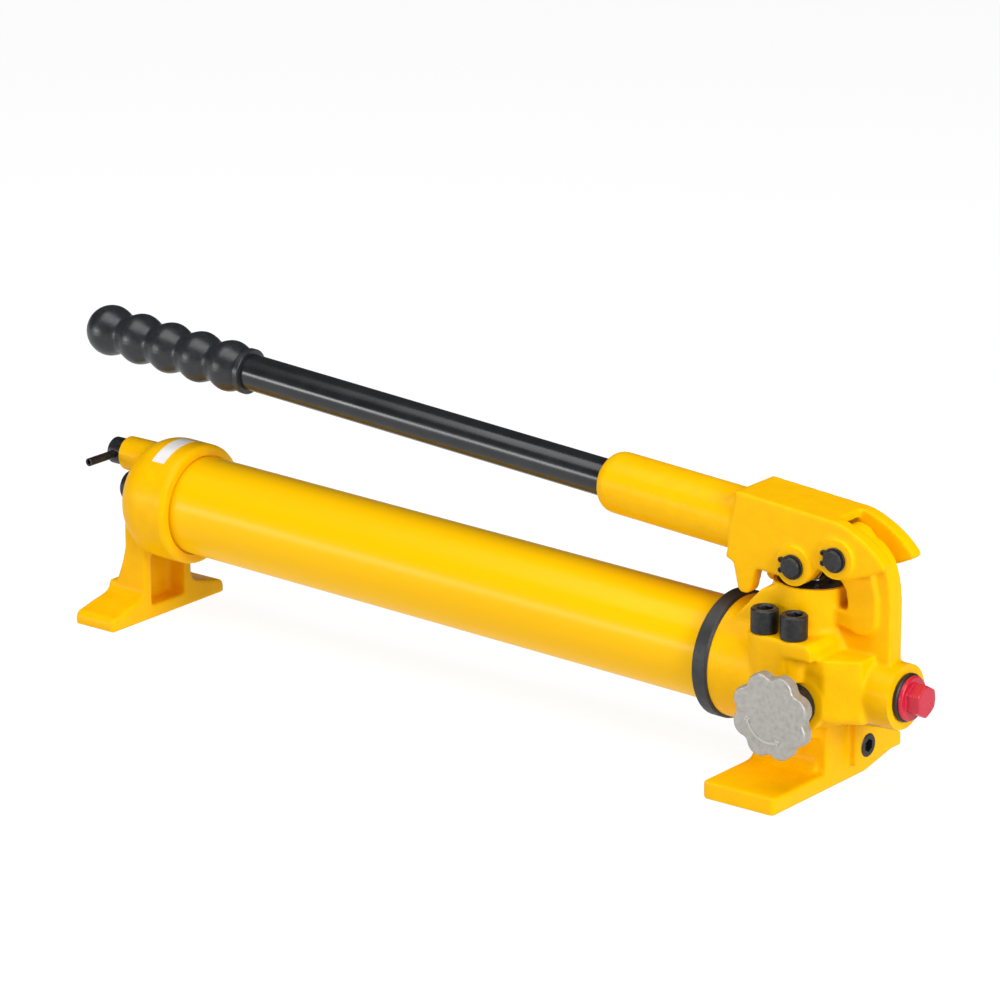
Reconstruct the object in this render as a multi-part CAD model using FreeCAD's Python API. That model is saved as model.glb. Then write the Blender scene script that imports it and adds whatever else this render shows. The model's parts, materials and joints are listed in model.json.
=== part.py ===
import FreeCAD, Part
import math
import os

# Two-speed hydraulic hand pump.  Units are millimetres and +Z is up.
# The origin is on the floor, straight below the pump plunger's axis.
# +X runs from the plunger to the outlet port, and the tank and handle run towards -X.
# The release valve's knob faces -Y.

V = FreeCAD.Vector
X_AXIS = V(1, 0, 0)
Y_AXIS = V(0, 1, 0)
Z_AXIS = V(0, 0, 1)

# ---------------------------------------------------------------- driving dimensions

RUNNING_GAP = 0.05           # radial clearance of parts that turn or slide
SEAT_GAP = 0.02              # clearance round static rubber rings

# Oil tank: its axis falls towards the head, so that the last of the oil reaches the intake.
TANK_TILT = 1.5              # degrees
TANK_AXIS_Z = 62.7           # height of the tank axis above the origin
TANK_RADIUS = 30.0
TANK_WALL = 3.0
TANK_FRONT = -38.0           # tank tube ends, along the tank axis
TANK_REAR = -470.0
TANK_BORE = TANK_RADIUS - TANK_WALL

# Pump head casting
HEAD_BARREL_RADIUS = 35.0    # horizontal barrel that carries the tank
HEAD_BARREL_REAR = -46.0
HEAD_BARREL_FRONT = 5.0
COLUMN_RADIUS = 27.0         # upright barrel round the plunger
COLUMN_BOTTOM = 38.0
COLUMN_TOP = 90.0
TOWER_RADIUS = 22.0
TOWER_TOP = 118.0
GLAND_SEAT = 113.0           # shoulder inside the tower that the gland rests on
GLAND_RADIUS = 19.4
WALL_FRONT = -34.0           # front wall of the oil chamber in the head

# Front foot
FOOT_REAR = -31.0
FOOT_FRONT = 17.0
FOOT_HALF_WIDTH = 59.5
FOOT_THICKNESS = 10.2
WEB_NEAR = -9.0
WEB_FAR = 16.0
GUSSET_FRONT = 21.7

# Rear foot and cap
CAP_FRONT = -446.3
CAP_REAR = -491.3
CAP_RADIUS = 37.0
CAP_DOME = 24.0
REAR_FOOT_FRONT = -474.8
REAR_FOOT_REAR = -505.7
REAR_FOOT_HALF_WIDTH = 51.0
REAR_WEB_HALF_WIDTH = 21.5

# Adjuster housing on the near side of the head
SHELF_Z = 92.7
SHELF_NEAR = -36.5
SHELF_LEFT = -24.0
SHELF_RIGHT = 24.0
SHELF_UNDERSIDE = 83.0
ADJUSTER_Y = -29.0
RELIEF_X = -12.0
UNLOADER_X = 7.5
ADJUSTER_TOP = 106.8
ADJUSTER_RADIUS = 7.75
ADJUSTER_THREAD_RADIUS = 6.0

# Lever geometry, seen from the -Y side: fulcrum pin, plunger pin and handle axis
FULCRUM = V(27.6, 0, 139.3)
PLUNGER_PIN = V(0, 0, 129.9)
PIN_RADIUS = 6.0
HANDLE_START = V(-41.0, 0, 142.6)
HANDLE_RISE = 0.0618         # rise of the handle axis per unit towards the rear
LEVER_HALF_WIDTH = 18.5
LEVER_GAP = 9.5              # half of the gap between the lever's cheeks
ARM_HALF_WIDTH = 9.0
RIB_HALF_WIDTH = 6.0

# Plunger: a large low-pressure piston with a small high-pressure plunger below it
ROD_RADIUS = 8.0
PISTON_RADIUS = 13.0
PISTON_BOTTOM = 62.5
PISTON_LENGTH = 11.0
PLUNGER_RADIUS = 5.5
PLUNGER_BOTTOM = 33.0
SLOT_PLAY_X = 2.4            # travel of the pin's arc across the plunger's eye
SLOT_PLAY_Z = 0.3

# Outlet
OUTLET_Z = 62.5
OUTLET_FACE = 62.0
OUTLET_RADIUS = 18.5
PORT_RADIUS = 8.4
PORT_DEPTH = 16.0

# Release valve, whose axis runs along Y
RELEASE_X = 11.5
RELEASE_Z = 56.0
RELEASE_FACE = -30.0
RELEASE_BOSS_RADIUS = 16.5
KNOB_FACE = -58.0
KNOB_RADIUS = 25.0

# Vent screw, whose axis runs along X
VENT_Z = 96.5
VENT_FACE = -504.0
VENT_BOSS_RADIUS = 10.5

# ---------------------------------------------------------------- geometry helpers


def block(x0, x1, y0, y1, z0, z1):
    """A box between two corners."""
    return Part.makeBox(x1 - x0, y1 - y0, z1 - z0, V(x0, y0, z0))


def rod(radius, start, end):
    """A cylinder between two points."""
    line = end.sub(start)
    return Part.makeCylinder(radius, line.Length, start, line)


def ring(outer, inner, start, end):
    """A hollow cylinder between two points."""
    return rod(outer, start, end).cut(rod(inner, start, end))


def fuse(shapes):
    """One solid from several that touch."""
    return shapes[0].multiFuse(shapes[1:]).removeSplitter()


def place(shape, placement):
    """A copy of a shape moved by a placement."""
    copy = shape.copy()
    copy.Placement = placement.multiply(copy.Placement)
    return copy


def turned(profile, origin, direction):
    """A solid of revolution.  The profile lists (distance along the axis, radius)."""
    points = [V(radius, 0, along) for along, radius in profile]
    face = Part.Face(Part.makePolygon(points + [points[0]]))
    solid = face.revolve(V(0, 0, 0), Z_AXIS, 360)
    return place(solid, FreeCAD.Placement(origin, FreeCAD.Rotation(Z_AXIS, direction)))


def arc_points(centre, radius, start, end, steps):
    """Points on an arc in profile space; angles in degrees."""
    points = []
    for i in range(steps + 1):
        angle = math.radians(start + (end - start) * i / steps)
        points.append((centre[0] + radius * math.cos(angle), centre[1] + radius * math.sin(angle)))
    return points


def outline(items, to_point):
    """A closed face from straight runs and three-point arcs.

    Each item is a point, or ("arc", middle, end), which bends from the point before it.
    """
    edges = []
    here = to_point(items[0])
    for item in items[1:] + [items[0]]:
        if item[0] == "arc":
            there = to_point(item[2])
            edges.append(Part.Arc(here, to_point(item[1]), there).toShape())
            here = there
            continue
        there = to_point(item)
        if there.distanceToPoint(here) > 1e-6:
            edges.append(Part.makeLine(here, there))
        here = there
    return Part.Face(Part.Wire(edges))


def side_plate(items, y0, y1):
    """A plate whose outline is drawn in X and Z."""
    face = outline(items, lambda p: V(p[0], y0, p[1]))
    return face.extrude(V(0, y1 - y0, 0))


def end_plate(items, x0, x1):
    """A plate whose outline is drawn in Y and Z."""
    face = outline(items, lambda p: V(x0, p[0], p[1]))
    return face.extrude(V(x1 - x0, 0, 0))


def o_ring(centre, axis, mean_radius, section_radius):
    """A rubber ring of round section."""
    return Part.makeTorus(mean_radius, section_radius, centre, axis)


def hex_prism(across_flats, start, end):
    """A hexagonal bar between two points."""
    line = end.sub(start)
    radius = across_flats / math.sqrt(3)
    corners = [V(radius * math.cos(math.radians(60 * i)), radius * math.sin(math.radians(60 * i)), 0)
               for i in range(7)]
    bar = Part.Face(Part.makePolygon(corners)).extrude(V(0, 0, line.Length))
    return place(bar, FreeCAD.Placement(start, FreeCAD.Rotation(Z_AXIS, line)))


def threaded(radius, pitch, start, end):
    """A screw thread drawn as a row of V-shaped ridges between two points."""
    line = end.sub(start)
    depth = 0.55 * pitch
    turns = int(line.Length / pitch)
    step = line.Length / turns
    profile = [(0, 0), (0, radius - depth)]
    for i in range(turns):
        profile.append(((i + 0.45) * step, radius))
        profile.append(((i + 0.55) * step, radius))
        profile.append(((i + 1) * step, radius - depth))
    profile.append((line.Length, 0))
    return turned(profile, start, line)


def coil(mean_radius, wire_radius, base, length, turns):
    """An upright compression spring: the ends of the wire's axis lie on base and base + length."""
    path = Part.Wire(Part.makeHelix(length / turns, length, mean_radius).Edges)
    section = Part.Wire(Part.makeCircle(wire_radius, V(mean_radius, 0, 0), Y_AXIS))
    spring = path.makePipeShell([section], True, True)
    spring.translate(base)
    return spring


def tilted(shape):
    """Moves a shape drawn on the tank's axis to its place."""
    turn = FreeCAD.Rotation(Y_AXIS, TANK_TILT)
    return place(shape, FreeCAD.Placement(V(0, 0, TANK_AXIS_Z), turn))


def on_tank(along, across=0.0, up=0.0):
    """A point in the tank's own frame."""
    return V(along, across, up)


def on_handle(along):
    """A point on the handle's axis, measured from its start towards the grip."""
    direction = V(-1, 0, HANDLE_RISE).normalize()
    return HANDLE_START.add(direction.multiply(along))


# ---------------------------------------------------------------- pump head

RIGHT_ANGLE_STEPS = 6
DISCHARGE = V(6.0, 22.0, 0)  # upright axis of the discharge valve
GALLERY_PLUG = V(GUSSET_FRONT, 25.0, 18.2)
GALLERY_PLUG_RADIUS = 6.8
GALLERY_PLUG_DEPTH = 9.0
NUB = V(44.2, 0, 110.0)      # cast stop below the lever's front edge when the handle is up
NUB_RADIUS = 5.0
NUB_END = 12.5
GLAND_THREAD_RADIUS = 16.0


def column_blank():
    """The upright barrel round the plunger, with a soft lower rim."""
    soft = 7.0
    profile = [(COLUMN_BOTTOM, 0)]
    profile += arc_points((COLUMN_BOTTOM + soft, COLUMN_RADIUS - soft), soft, 180, 90, RIGHT_ANGLE_STEPS)
    shoulder = 4.0
    profile += arc_points((COLUMN_TOP - shoulder, COLUMN_RADIUS - shoulder), shoulder, 90, 0,
                          RIGHT_ANGLE_STEPS)
    profile += [(COLUMN_TOP, 0)]
    return turned(profile, V(0, 0, 0), Z_AXIS)


def tower_blank():
    """The neck that holds the plunger's gland."""
    bevel = 1.2
    root = 6.0
    profile = [(60, 0), (60, TOWER_RADIUS + 3), (COLUMN_TOP - 1, TOWER_RADIUS + 3)]
    profile += [(COLUMN_TOP + root, TOWER_RADIUS), (TOWER_TOP - bevel, TOWER_RADIUS)]
    profile += [(TOWER_TOP, TOWER_RADIUS - bevel), (TOWER_TOP, 0)]
    return turned(profile, V(0, 0, 0), Z_AXIS)


def shelf_blank():
    """The housing below the two adjusting screws."""
    corner = 13.0
    body = end_plate([(0, 60), (-35, 60), (SHELF_NEAR, SHELF_Z), (0, SHELF_Z)], SHELF_LEFT,
                     HEAD_BARREL_FRONT)
    upright = [e for e in body.Edges
               if abs(e.BoundBox.XMax - SHELF_LEFT) < 0.1 and e.BoundBox.ZLength > 20
               and e.BoundBox.YMax < -30]
    body = body.makeFillet(corner, upright)
    side = block(HEAD_BARREL_FRONT - 1, SHELF_RIGHT, SHELF_NEAR, 0, SHELF_UNDERSIDE, SHELF_Z)
    top_edge = [e for e in side.Edges
                if e.BoundBox.XMin > SHELF_RIGHT - 0.1 and e.BoundBox.ZMin > SHELF_Z - 0.1]
    side = side.makeChamfer(3.5, top_edge)
    unloader_boss = rod(8.0, V(UNLOADER_X, ADJUSTER_Y + 2, 69.5), V(UNLOADER_X, ADJUSTER_Y + 2, 86))
    return [body, side, unloader_boss]


def tower_gusset():
    """The sloping gusset between the barrel and the tower."""
    return side_plate([(-10, 117), (-21, 113), (-40, 92), (-10, 88)], -20, -4)


def release_wall():
    """The slanting wall between the release valve's boss and the outlet boss."""
    low = 46.0
    corners = [V(5, -29.5, low), V(28, -29.5, low), V(45.5, -18.5, low), V(45.5, 2, low), V(5, 2, low)]
    wall = Part.Face(Part.makePolygon(corners + [corners[0]])).extrude(V(0, 0, 84 - low))
    rim = [e for e in wall.Edges if e.BoundBox.ZMax < low + 0.1 and e.BoundBox.YMin < -18
           and e.BoundBox.YMax < 0]
    return wall.makeFillet(6.0, rim)


def arm_outline():
    """Outer edge of the fulcrum arm, in X and Z."""
    return [(28, 76), (53.5, 76), (55, 81), (55, 115), ("arc", (53.7, 126.5), (50.4, 137)),
            ("arc", (45.8, 143.2), (38, 148)), ("arc", (31.8, 152.1), (24, 153.4)),
            ("arc", (17.2, 150.3), (13.8, 143)), (13.8, 134), (27.5, 119), (28.5, 107.5)]


def lug_outline():
    """Outer edge of the arm's thick part, in X and Z."""
    return [(13.8, 143), (13.8, 134), (27.5, 119), (28.5, 107.5), (17, 107.5), (17, 98), (30, 97),
            ("arc", (41, 95.3), (47.2, 102)), (47.2, 118), (44, 130),
            ("arc", (39.5, 140), (36, 146.5)), ("arc", (31, 151.6), (24, 153.4)),
            ("arc", (17.2, 150.3), (13.8, 143))]


def foot_blanks():
    """Front foot: a flange, an upright web, and the gusset on the far side."""
    flange = block(FOOT_REAR, FOOT_FRONT, -FOOT_HALF_WIDTH, FOOT_HALF_WIDTH, 0, FOOT_THICKNESS)
    corners = [e for e in flange.Edges if e.BoundBox.ZLength > FOOT_THICKNESS - 0.1]
    flange = flange.makeFillet(2.5, corners)
    web = block(FOOT_REAR, FOOT_FRONT, WEB_NEAR, WEB_FAR, 0, 48)
    root = 9.0
    fillet_near = side_fillet(FOOT_REAR, FOOT_FRONT - 6, WEB_NEAR, FOOT_THICKNESS, -root)
    fillet_far = side_fillet(FOOT_REAR, 4.0, WEB_FAR, FOOT_THICKNESS, root)
    gusset = end_plate([(13, 8.8), (13, 35), (46, 22), (58.5, 17), (58.5, 8.8)], -2, GUSSET_FRONT)
    return [flange, web, fillet_near, fillet_far, gusset]


def side_fillet(x0, x1, wall, floor, size):
    """A concave fillet between a wall at Y = wall and a floor, on the side that size points to."""
    middle = 1 - math.sqrt(0.5)
    return end_plate([(wall, floor - 0.5), (wall + size, floor - 0.5), (wall + size, floor),
                      ("arc", (wall + size * middle, floor + abs(size) * middle),
                       (wall, floor + abs(size)))], x0, x1)


def foot_relief():
    """The sloping cut below the far front corner of the foot."""
    near = V(GUSSET_FRONT + 1, 12, -1)
    far = V(GUSSET_FRONT + 1, FOOT_HALF_WIDTH + 1, -1)
    top = V(GUSSET_FRONT + 1, FOOT_HALF_WIDTH + 1, 9)
    back = V(-1, FOOT_HALF_WIDTH + 1, -1)
    faces = [Part.Face(Part.makePolygon(list(corners) + [corners[0]]))
             for corners in ((near, far, top), (near, far, back), (far, top, back), (near, top, back))]
    return Part.Solid(Part.Shell(faces))


def up(z):
    """A point on the plunger's axis."""
    return V(0, 0, z)


def head_cavities():
    """Everything bored into the head."""
    bores = [
        tilted(rod(TANK_RADIUS, on_tank(HEAD_BARREL_REAR - 1), on_tank(TANK_FRONT))),
        tilted(rod(TANK_BORE - 1, on_tank(HEAD_BARREL_REAR - 1), on_tank(WALL_FRONT))),
        tilted(rod(TANK_RADIUS + 2.4 + SEAT_GAP, on_tank(-43.5), on_tank(-40.9))),
        tilted(rod(6.0, on_tank(WALL_FRONT - 1), on_tank(-18))),
        rod(GLAND_THREAD_RADIUS, up(98), up(TOWER_TOP)),
        rod(GLAND_RADIUS + 0.2, up(GLAND_SEAT), up(TOWER_TOP + 1)),
        rod(PISTON_RADIUS, up(61), up(99)),
        rod(8.5, up(57.2), up(60.4)),
        rod(PLUNGER_RADIUS + RUNNING_GAP, up(31), up(62)),
        rod(5.5, up(17), up(31.1)),
        rod(2.5, up(11), up(18)),
        rod(3.0, V(-37, 0, 43), V(0, 0, 12.5)),
    ]
    side = DISCHARGE
    plug_end = GALLERY_PLUG.sub(V(GALLERY_PLUG_DEPTH, 0, 0))
    bores += [
        rod(6.5, side.add(up(-1)), side.add(up(12))),
        rod(5.0, side.add(up(11)), side.add(up(56.5))),
        rod(2.0, up(28), side.add(up(28))),
        rod(2.5, side.add(up(54)), outlet_at(46)),
        rod(GALLERY_PLUG_RADIUS, GALLERY_PLUG.add(V(1, 0, 0)), plug_end),
        rod(2.0, GALLERY_PLUG, V(DISCHARGE.x, GALLERY_PLUG.y, GALLERY_PLUG.z)),
        rod(PORT_RADIUS + RUNNING_GAP, outlet_at(OUTLET_FACE + 1), outlet_at(OUTLET_FACE - PORT_DEPTH)),
        rod(3.0, outlet_at(OUTLET_FACE), outlet_at(43)),
    ]
    bores += release_bores() + adjuster_bores()
    reach = V(0, 20, 0)
    bores.append(rod(PIN_RADIUS + RUNNING_GAP, FULCRUM.sub(reach), FULCRUM.add(reach)))
    return bores


def outlet_at(x):
    """A point on the outlet port's axis."""
    return V(x, 0, OUTLET_Z)


def release_at(y):
    """A point on the release valve's axis."""
    return V(RELEASE_X, y, RELEASE_Z)


def release_bores():
    """The release valve's stepped bore, its seat, and its return to the tank."""
    return [
        rod(8.0, release_at(RELEASE_FACE - 1), release_at(-14)),
        rod(13.0, release_at(RELEASE_FACE), release_at(RELEASE_FACE - 12)),
        rod(5.0, release_at(-15), release_at(RELEASE_SEAT_Y)),
        rod(RELEASE_SEAT_RADIUS, release_at(RELEASE_SEAT_Y - 1), release_at(18)),
        rod(2.0, V(RELEASE_X, -11, 54), V(-42, -14, 50)),
    ]


def adjuster_bores():
    """The two upright valve bores below the adjusting screws, and their drillings."""
    bores = []
    for x in (RELIEF_X, UNLOADER_X):
        bores.append(rod(ADJUSTER_THREAD_RADIUS, V(x, ADJUSTER_Y, 84), V(x, ADJUSTER_Y, SHELF_Z + 1)))
        bores.append(rod(4.5, V(x, ADJUSTER_Y, 69), V(x, ADJUSTER_Y, 85)))
        bores.append(rod(1.5, V(x, ADJUSTER_Y, 66), V(x, ADJUSTER_Y, 70)))
        bores.append(rod(ADJUSTER_RADIUS + 0.4, V(x, ADJUSTER_Y, SHELF_Z), V(x, ADJUSTER_Y, ADJUSTER_TOP)))
    bores.append(rod(1.4, V(UNLOADER_X, ADJUSTER_Y, 67.5), V(3, -10, 62.3)))
    bores.append(rod(1.4, V(RELIEF_X, ADJUSTER_Y, 67), V(-2, -4, 52)))
    return bores


def pump_head():
    """The head casting with its foot, fulcrum arm and all of its bores."""
    blanks = [
        column_blank(),
        tower_blank(),
        tilted(rod(HEAD_BARREL_RADIUS, on_tank(HEAD_BARREL_REAR), on_tank(HEAD_BARREL_FRONT))),
        rod(RELEASE_BOSS_RADIUS, release_at(0), release_at(RELEASE_FACE)),
        rod(OUTLET_RADIUS, outlet_at(8), outlet_at(OUTLET_FACE)),
        side_plate(arm_outline(), -RIB_HALF_WIDTH, RIB_HALF_WIDTH),
        side_plate(lug_outline(), -ARM_HALF_WIDTH, ARM_HALF_WIDTH),
        block(15, 30, -RIB_HALF_WIDTH, RIB_HALF_WIDTH, 60, 107.5),
        rod(9.5, DISCHARGE.add(up(5)), DISCHARGE.add(up(62))),
        rod(NUB_RADIUS, NUB, NUB.add(V(0, NUB_END, 0))),
        tower_gusset(),
        release_wall(),
    ]
    blanks += shelf_blank() + foot_blanks()
    head = fuse(blanks)
    return head.cut(head_cavities() + [foot_relief()]).removeSplitter()


# ---------------------------------------------------------------- tank, cap and tie rod


def tank_tube():
    """The oil tank's steel tube."""
    return tilted(ring(TANK_RADIUS, TANK_BORE, on_tank(TANK_REAR), on_tank(TANK_FRONT)))


def tank_ring():
    """The black ring that backs the joint of head and tank."""
    width = 10.0
    outer = HEAD_BARREL_RADIUS + 1.7
    soft = 1.2
    start = HEAD_BARREL_REAR - width
    profile = [(0, TANK_RADIUS), (0, outer - soft), (soft, outer), (width - soft, outer),
               (width, outer - soft), (width, TANK_RADIUS)]
    return tilted(turned(profile, on_tank(start), X_AXIS))


def rear_cap():
    """The rear casting: a domed cap over the tank, the vent boss and the rear foot."""
    lip = 2.0
    profile = [(CAP_FRONT, 0), (CAP_FRONT, CAP_RADIUS - lip), (CAP_FRONT - lip, CAP_RADIUS)]
    dome_centre = (CAP_REAR + CAP_DOME, CAP_RADIUS - CAP_DOME)
    profile += arc_points(dome_centre, CAP_DOME, 90, 180, 3 * RIGHT_ANGLE_STEPS)
    profile += [(CAP_REAR, 0)]
    barrel = tilted(turned(profile, V(0, 0, 0), X_AXIS))
    boss = rod(VENT_BOSS_RADIUS, V(VENT_FACE, 0, VENT_Z), V(-462, 0, VENT_Z))
    leg = side_plate([(REAR_FOOT_FRONT, 2), (REAR_FOOT_FRONT, 60), (-491, 60), (-491, 45),
                      ("arc", (-494.6, 31.5), (-504, 12)), (-504, 2)],
                     -REAR_WEB_HALF_WIDTH, REAR_WEB_HALF_WIDTH)
    flange_half = [(0, 0), (REAR_FOOT_HALF_WIDTH, 0), (REAR_FOOT_HALF_WIDTH, 3.5),
                   ("arc", (REAR_FOOT_HALF_WIDTH - 1.6, 7.6), (REAR_FOOT_HALF_WIDTH - 6, 9)), (27, 14),
                   ("arc", (23, 16.2), (REAR_WEB_HALF_WIDTH, 21)), (0, 21)]
    far = end_plate(flange_half, REAR_FOOT_REAR, REAR_FOOT_FRONT)
    near = far.mirror(V(0, 0, 0), Y_AXIS)
    cap = fuse([barrel, boss, leg, far, near])
    pocket = block(REAR_FOOT_FRONT - 13.5, REAR_FOOT_FRONT + 1, -15, 15, 8.5, 46)
    upright = [e for e in pocket.Edges if e.BoundBox.ZLength > 30 and e.BoundBox.XMax < REAR_FOOT_FRONT]
    pocket = pocket.makeFillet(4.0, upright)
    barrel_core = tilted(rod(CAP_RADIUS, on_tank(CAP_FRONT + 1), on_tank(CAP_REAR + 5)))
    pocket = pocket.cut(barrel_core)
    wall = -480.0
    cavities = [
        pocket,
        tilted(rod(TANK_RADIUS, on_tank(CAP_FRONT + 1), on_tank(TANK_REAR))),
        tilted(rod(TANK_BORE, on_tank(CAP_FRONT + 1), on_tank(wall))),
        tilted(rod(TANK_RADIUS + 2.4 + SEAT_GAP, on_tank(-456.3), on_tank(-453.7))),
        tilted(rod(6.0 + RUNNING_GAP, on_tank(wall + 1), on_tank(CAP_REAR - 1))),
        rod(5.0 + RUNNING_GAP, V(VENT_FACE - 1, 0, VENT_Z), V(-476, 0, VENT_Z)),
        tilted(rod(11.2, on_tank(CAP_REAR), on_tank(CAP_REAR - 25))),
        block(REAR_FOOT_REAR - 5, REAR_FOOT_REAR + 1.5, -60, 60, 11.5, 30),
    ]
    return cap.cut(cavities).removeSplitter()


def tie_rod():
    """The rod that pulls head, tank and cap together; both ends are threaded."""
    shank = rod(5.2, on_tank(-482), on_tank(-33))
    front = threaded(6.0, 1.75, on_tank(-33), on_tank(-18.5))
    rear = threaded(6.0, 1.75, on_tank(-502), on_tank(-482))
    return tilted(fuse([shank, front, rear]))


WASHER_THICKNESS = 1.5
NUT_RADIUS = 10.5


def tie_rod_nut():
    """The domed nut on the rear end of the tie rod."""
    base = WASHER_THICKNESS
    height = 13.7
    soft = 5.0
    bore_end = 11.2
    profile = [(base, 6.0), (base, NUT_RADIUS)]
    profile += arc_points((base + height - soft, NUT_RADIUS - soft), soft, 90, 0, RIGHT_ANGLE_STEPS)
    profile += [(base + height, 0), (bore_end, 0), (bore_end, 6.0)]
    return tilted(turned(profile, on_tank(CAP_REAR), V(-1, 0, 0)))


def tie_rod_washer():
    """The sealing washer below the domed nut."""
    return tilted(ring(NUT_RADIUS, 6.0, on_tank(CAP_REAR), on_tank(CAP_REAR - WASHER_THICKNESS)))


def tank_seal(along):
    """The rubber ring between the tank tube and a casting."""
    return tilted(o_ring(on_tank(along), X_AXIS, TANK_RADIUS + 1.2 + SEAT_GAP / 2, 1.2))


INTAKE_DROP = -19.0          # intake tube below the tank's axis


def suction_tube():
    """The steel intake tube pressed into the head's front wall."""
    start = on_tank(-72, 0, INTAKE_DROP)
    end = on_tank(WALL_FRONT, 0, INTAKE_DROP)
    return tilted(ring(4.0, 3.0, start, end))


def suction_strainer():
    """The wire-mesh strainer over the intake tube: a cup with rows of windows."""
    start = -86.0
    end = -60.0
    radius = 6.8
    cup = rod(radius, on_tank(start, 0, INTAKE_DROP), on_tank(end, 0, INTAKE_DROP))
    core = rod(radius - 0.9, on_tank(start + 1.2, 0, INTAKE_DROP), on_tank(end - 2.5, 0, INTAKE_DROP))
    neck = rod(4.0, on_tank(end - 4, 0, INTAKE_DROP), on_tank(end + 1, 0, INTAKE_DROP))
    windows = []
    for row in range(4):
        along = start + 4.2 + row * 5.0
        for turn in range(6):
            angle = math.radians(30 + 60 * turn)
            reach = V(0, math.cos(angle), math.sin(angle)).multiply(radius + 1)
            centre = on_tank(along, 0, INTAKE_DROP)
            windows.append(rod(1.5, centre, centre.add(reach)))
    return tilted(cup.cut([core, neck] + windows))


# ---------------------------------------------------------------- plunger and its gland


GLAND_SEAL_RADIUS = 11.5
WIPER_RADIUS = 10.8
WIPER_BASE = GLAND_SEAT + 2.0


def cylinder_gland():
    """The black gland nut that closes the cylinder and guides the plunger rod."""
    thread = threaded(GLAND_THREAD_RADIUS, 1.5, up(98), up(GLAND_SEAT))
    height = TOWER_TOP - GLAND_SEAT
    bevel = 0.8
    flange = turned([(0, 0), (0, GLAND_RADIUS), (height - bevel, GLAND_RADIUS),
                     (height, GLAND_RADIUS - bevel), (height, 0)], up(GLAND_SEAT), Z_AXIS)
    gland = fuse([thread, flange])
    cuts = [
        rod(ROD_RADIUS + RUNNING_GAP, up(97), up(TOWER_TOP + 1)),
        rod(GLAND_SEAL_RADIUS, up(101), up(105)),
        rod(WIPER_RADIUS, up(WIPER_BASE), up(TOWER_TOP + 1)),
    ]
    hole_circle = 15.2
    for turn in range(4):
        angle = math.radians(45 + 90 * turn)
        spot = V(hole_circle * math.cos(angle), hole_circle * math.sin(angle), 0)
        cuts.append(rod(1.8, spot.add(up(GLAND_SEAT + 1.5)), spot.add(up(TOWER_TOP + 1))))
    return gland.cut(cuts)


def gland_seal():
    """The lip seal inside the gland."""
    return ring(GLAND_SEAL_RADIUS, ROD_RADIUS + RUNNING_GAP, up(101), up(105))


def rod_wiper():
    """The wiper that keeps dirt out of the gland."""
    inner = ROD_RADIUS + RUNNING_GAP
    body = TOWER_TOP - WIPER_BASE
    lip = body + 1.2
    profile = [(0, inner), (0, WIPER_RADIUS), (body, WIPER_RADIUS), (body, inner + 1.6), (lip, inner)]
    return turned(profile, up(WIPER_BASE), Z_AXIS)


def long_eye(straight, half_length, half_height, half_width):
    """A plate with bulging ends round the plunger pin: half sizes in X, X, Z and Y."""
    z = PLUNGER_PIN.z
    return side_plate([(-straight, z - half_height), (straight, z - half_height),
                       ("arc", (half_length, z), (straight, z + half_height)),
                       (-straight, z + half_height),
                       ("arc", (-half_length, z), (-straight, z - half_height))],
                      -half_width, half_width)


def plunger():
    """The low-pressure piston with its rod and the slotted eye for the lever's pin."""
    lower = PISTON_BOTTOM
    top = lower + PISTON_LENGTH
    radius = PISTON_RADIUS - RUNNING_GAP
    piston = turned([(lower, 0), (lower, radius - 0.8), (lower + 0.8, radius), (top - 0.8, radius),
                     (top, radius - 0.8), (top, 0)], up(0), Z_AXIS)
    shank = rod(ROD_RADIUS, up(top - 1), up(PLUNGER_PIN.z - 7))
    wall = 4.0
    eye = long_eye(6.6, PIN_RADIUS + SLOT_PLAY_X + wall, 9.7, ARM_HALF_WIDTH)
    half = PIN_RADIUS + SLOT_PLAY_Z
    slot = long_eye(SLOT_PLAY_X, SLOT_PLAY_X + half, half, ARM_HALF_WIDTH + 1)
    groove = ring(PISTON_RADIUS + 1, 10.4, up(lower + 3), up(lower + 7))
    spigot = rod(4.0, up(lower - 1), up(lower + 8))
    return fuse([piston, shank, eye]).cut([slot, groove, spigot])


def piston_seal():
    """The seal in the low-pressure piston's groove."""
    return ring(PISTON_RADIUS - 0.02, 10.4, up(PISTON_BOTTOM + 3), up(PISTON_BOTTOM + 5.5))


def piston_backup_ring():
    """The back-up ring that shares the piston's groove with the seal."""
    return ring(PISTON_RADIUS - 0.03, 10.4, up(PISTON_BOTTOM + 5.5), up(PISTON_BOTTOM + 7))


def high_pressure_plunger():
    """The small plunger, screwed into the piston above it."""
    body = turned([(PLUNGER_BOTTOM, 0), (PLUNGER_BOTTOM, PLUNGER_RADIUS - 0.8),
                   (PLUNGER_BOTTOM + 0.8, PLUNGER_RADIUS), (PISTON_BOTTOM, PLUNGER_RADIUS),
                   (PISTON_BOTTOM, 0)], up(0), Z_AXIS)
    stud = threaded(4.0, 1.25, up(PISTON_BOTTOM), up(PISTON_BOTTOM + 7.5))
    return fuse([body, stud])


def high_pressure_seal():
    """The seal round the small plunger."""
    return ring(8.5, PLUNGER_RADIUS + 0.03, up(57.2), up(59.2))


def high_pressure_backup_ring():
    """The back-up ring above the small plunger's seal."""
    return ring(8.5, PLUNGER_RADIUS + RUNNING_GAP, up(59.2), up(60.4))


# ---------------------------------------------------------------- check, relief and unloading valves

CHECK_BALL_RADIUS = 4.0
SUCTION_SEAT = 17.0
DISCHARGE_SEAT = 40.0
SEAT_HOLE = 2.5
CHECK_SPRING_RADIUS = 3.2
CHECK_SPRING_TURNS = 5
CHECK_WIRE = 0.4


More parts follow.
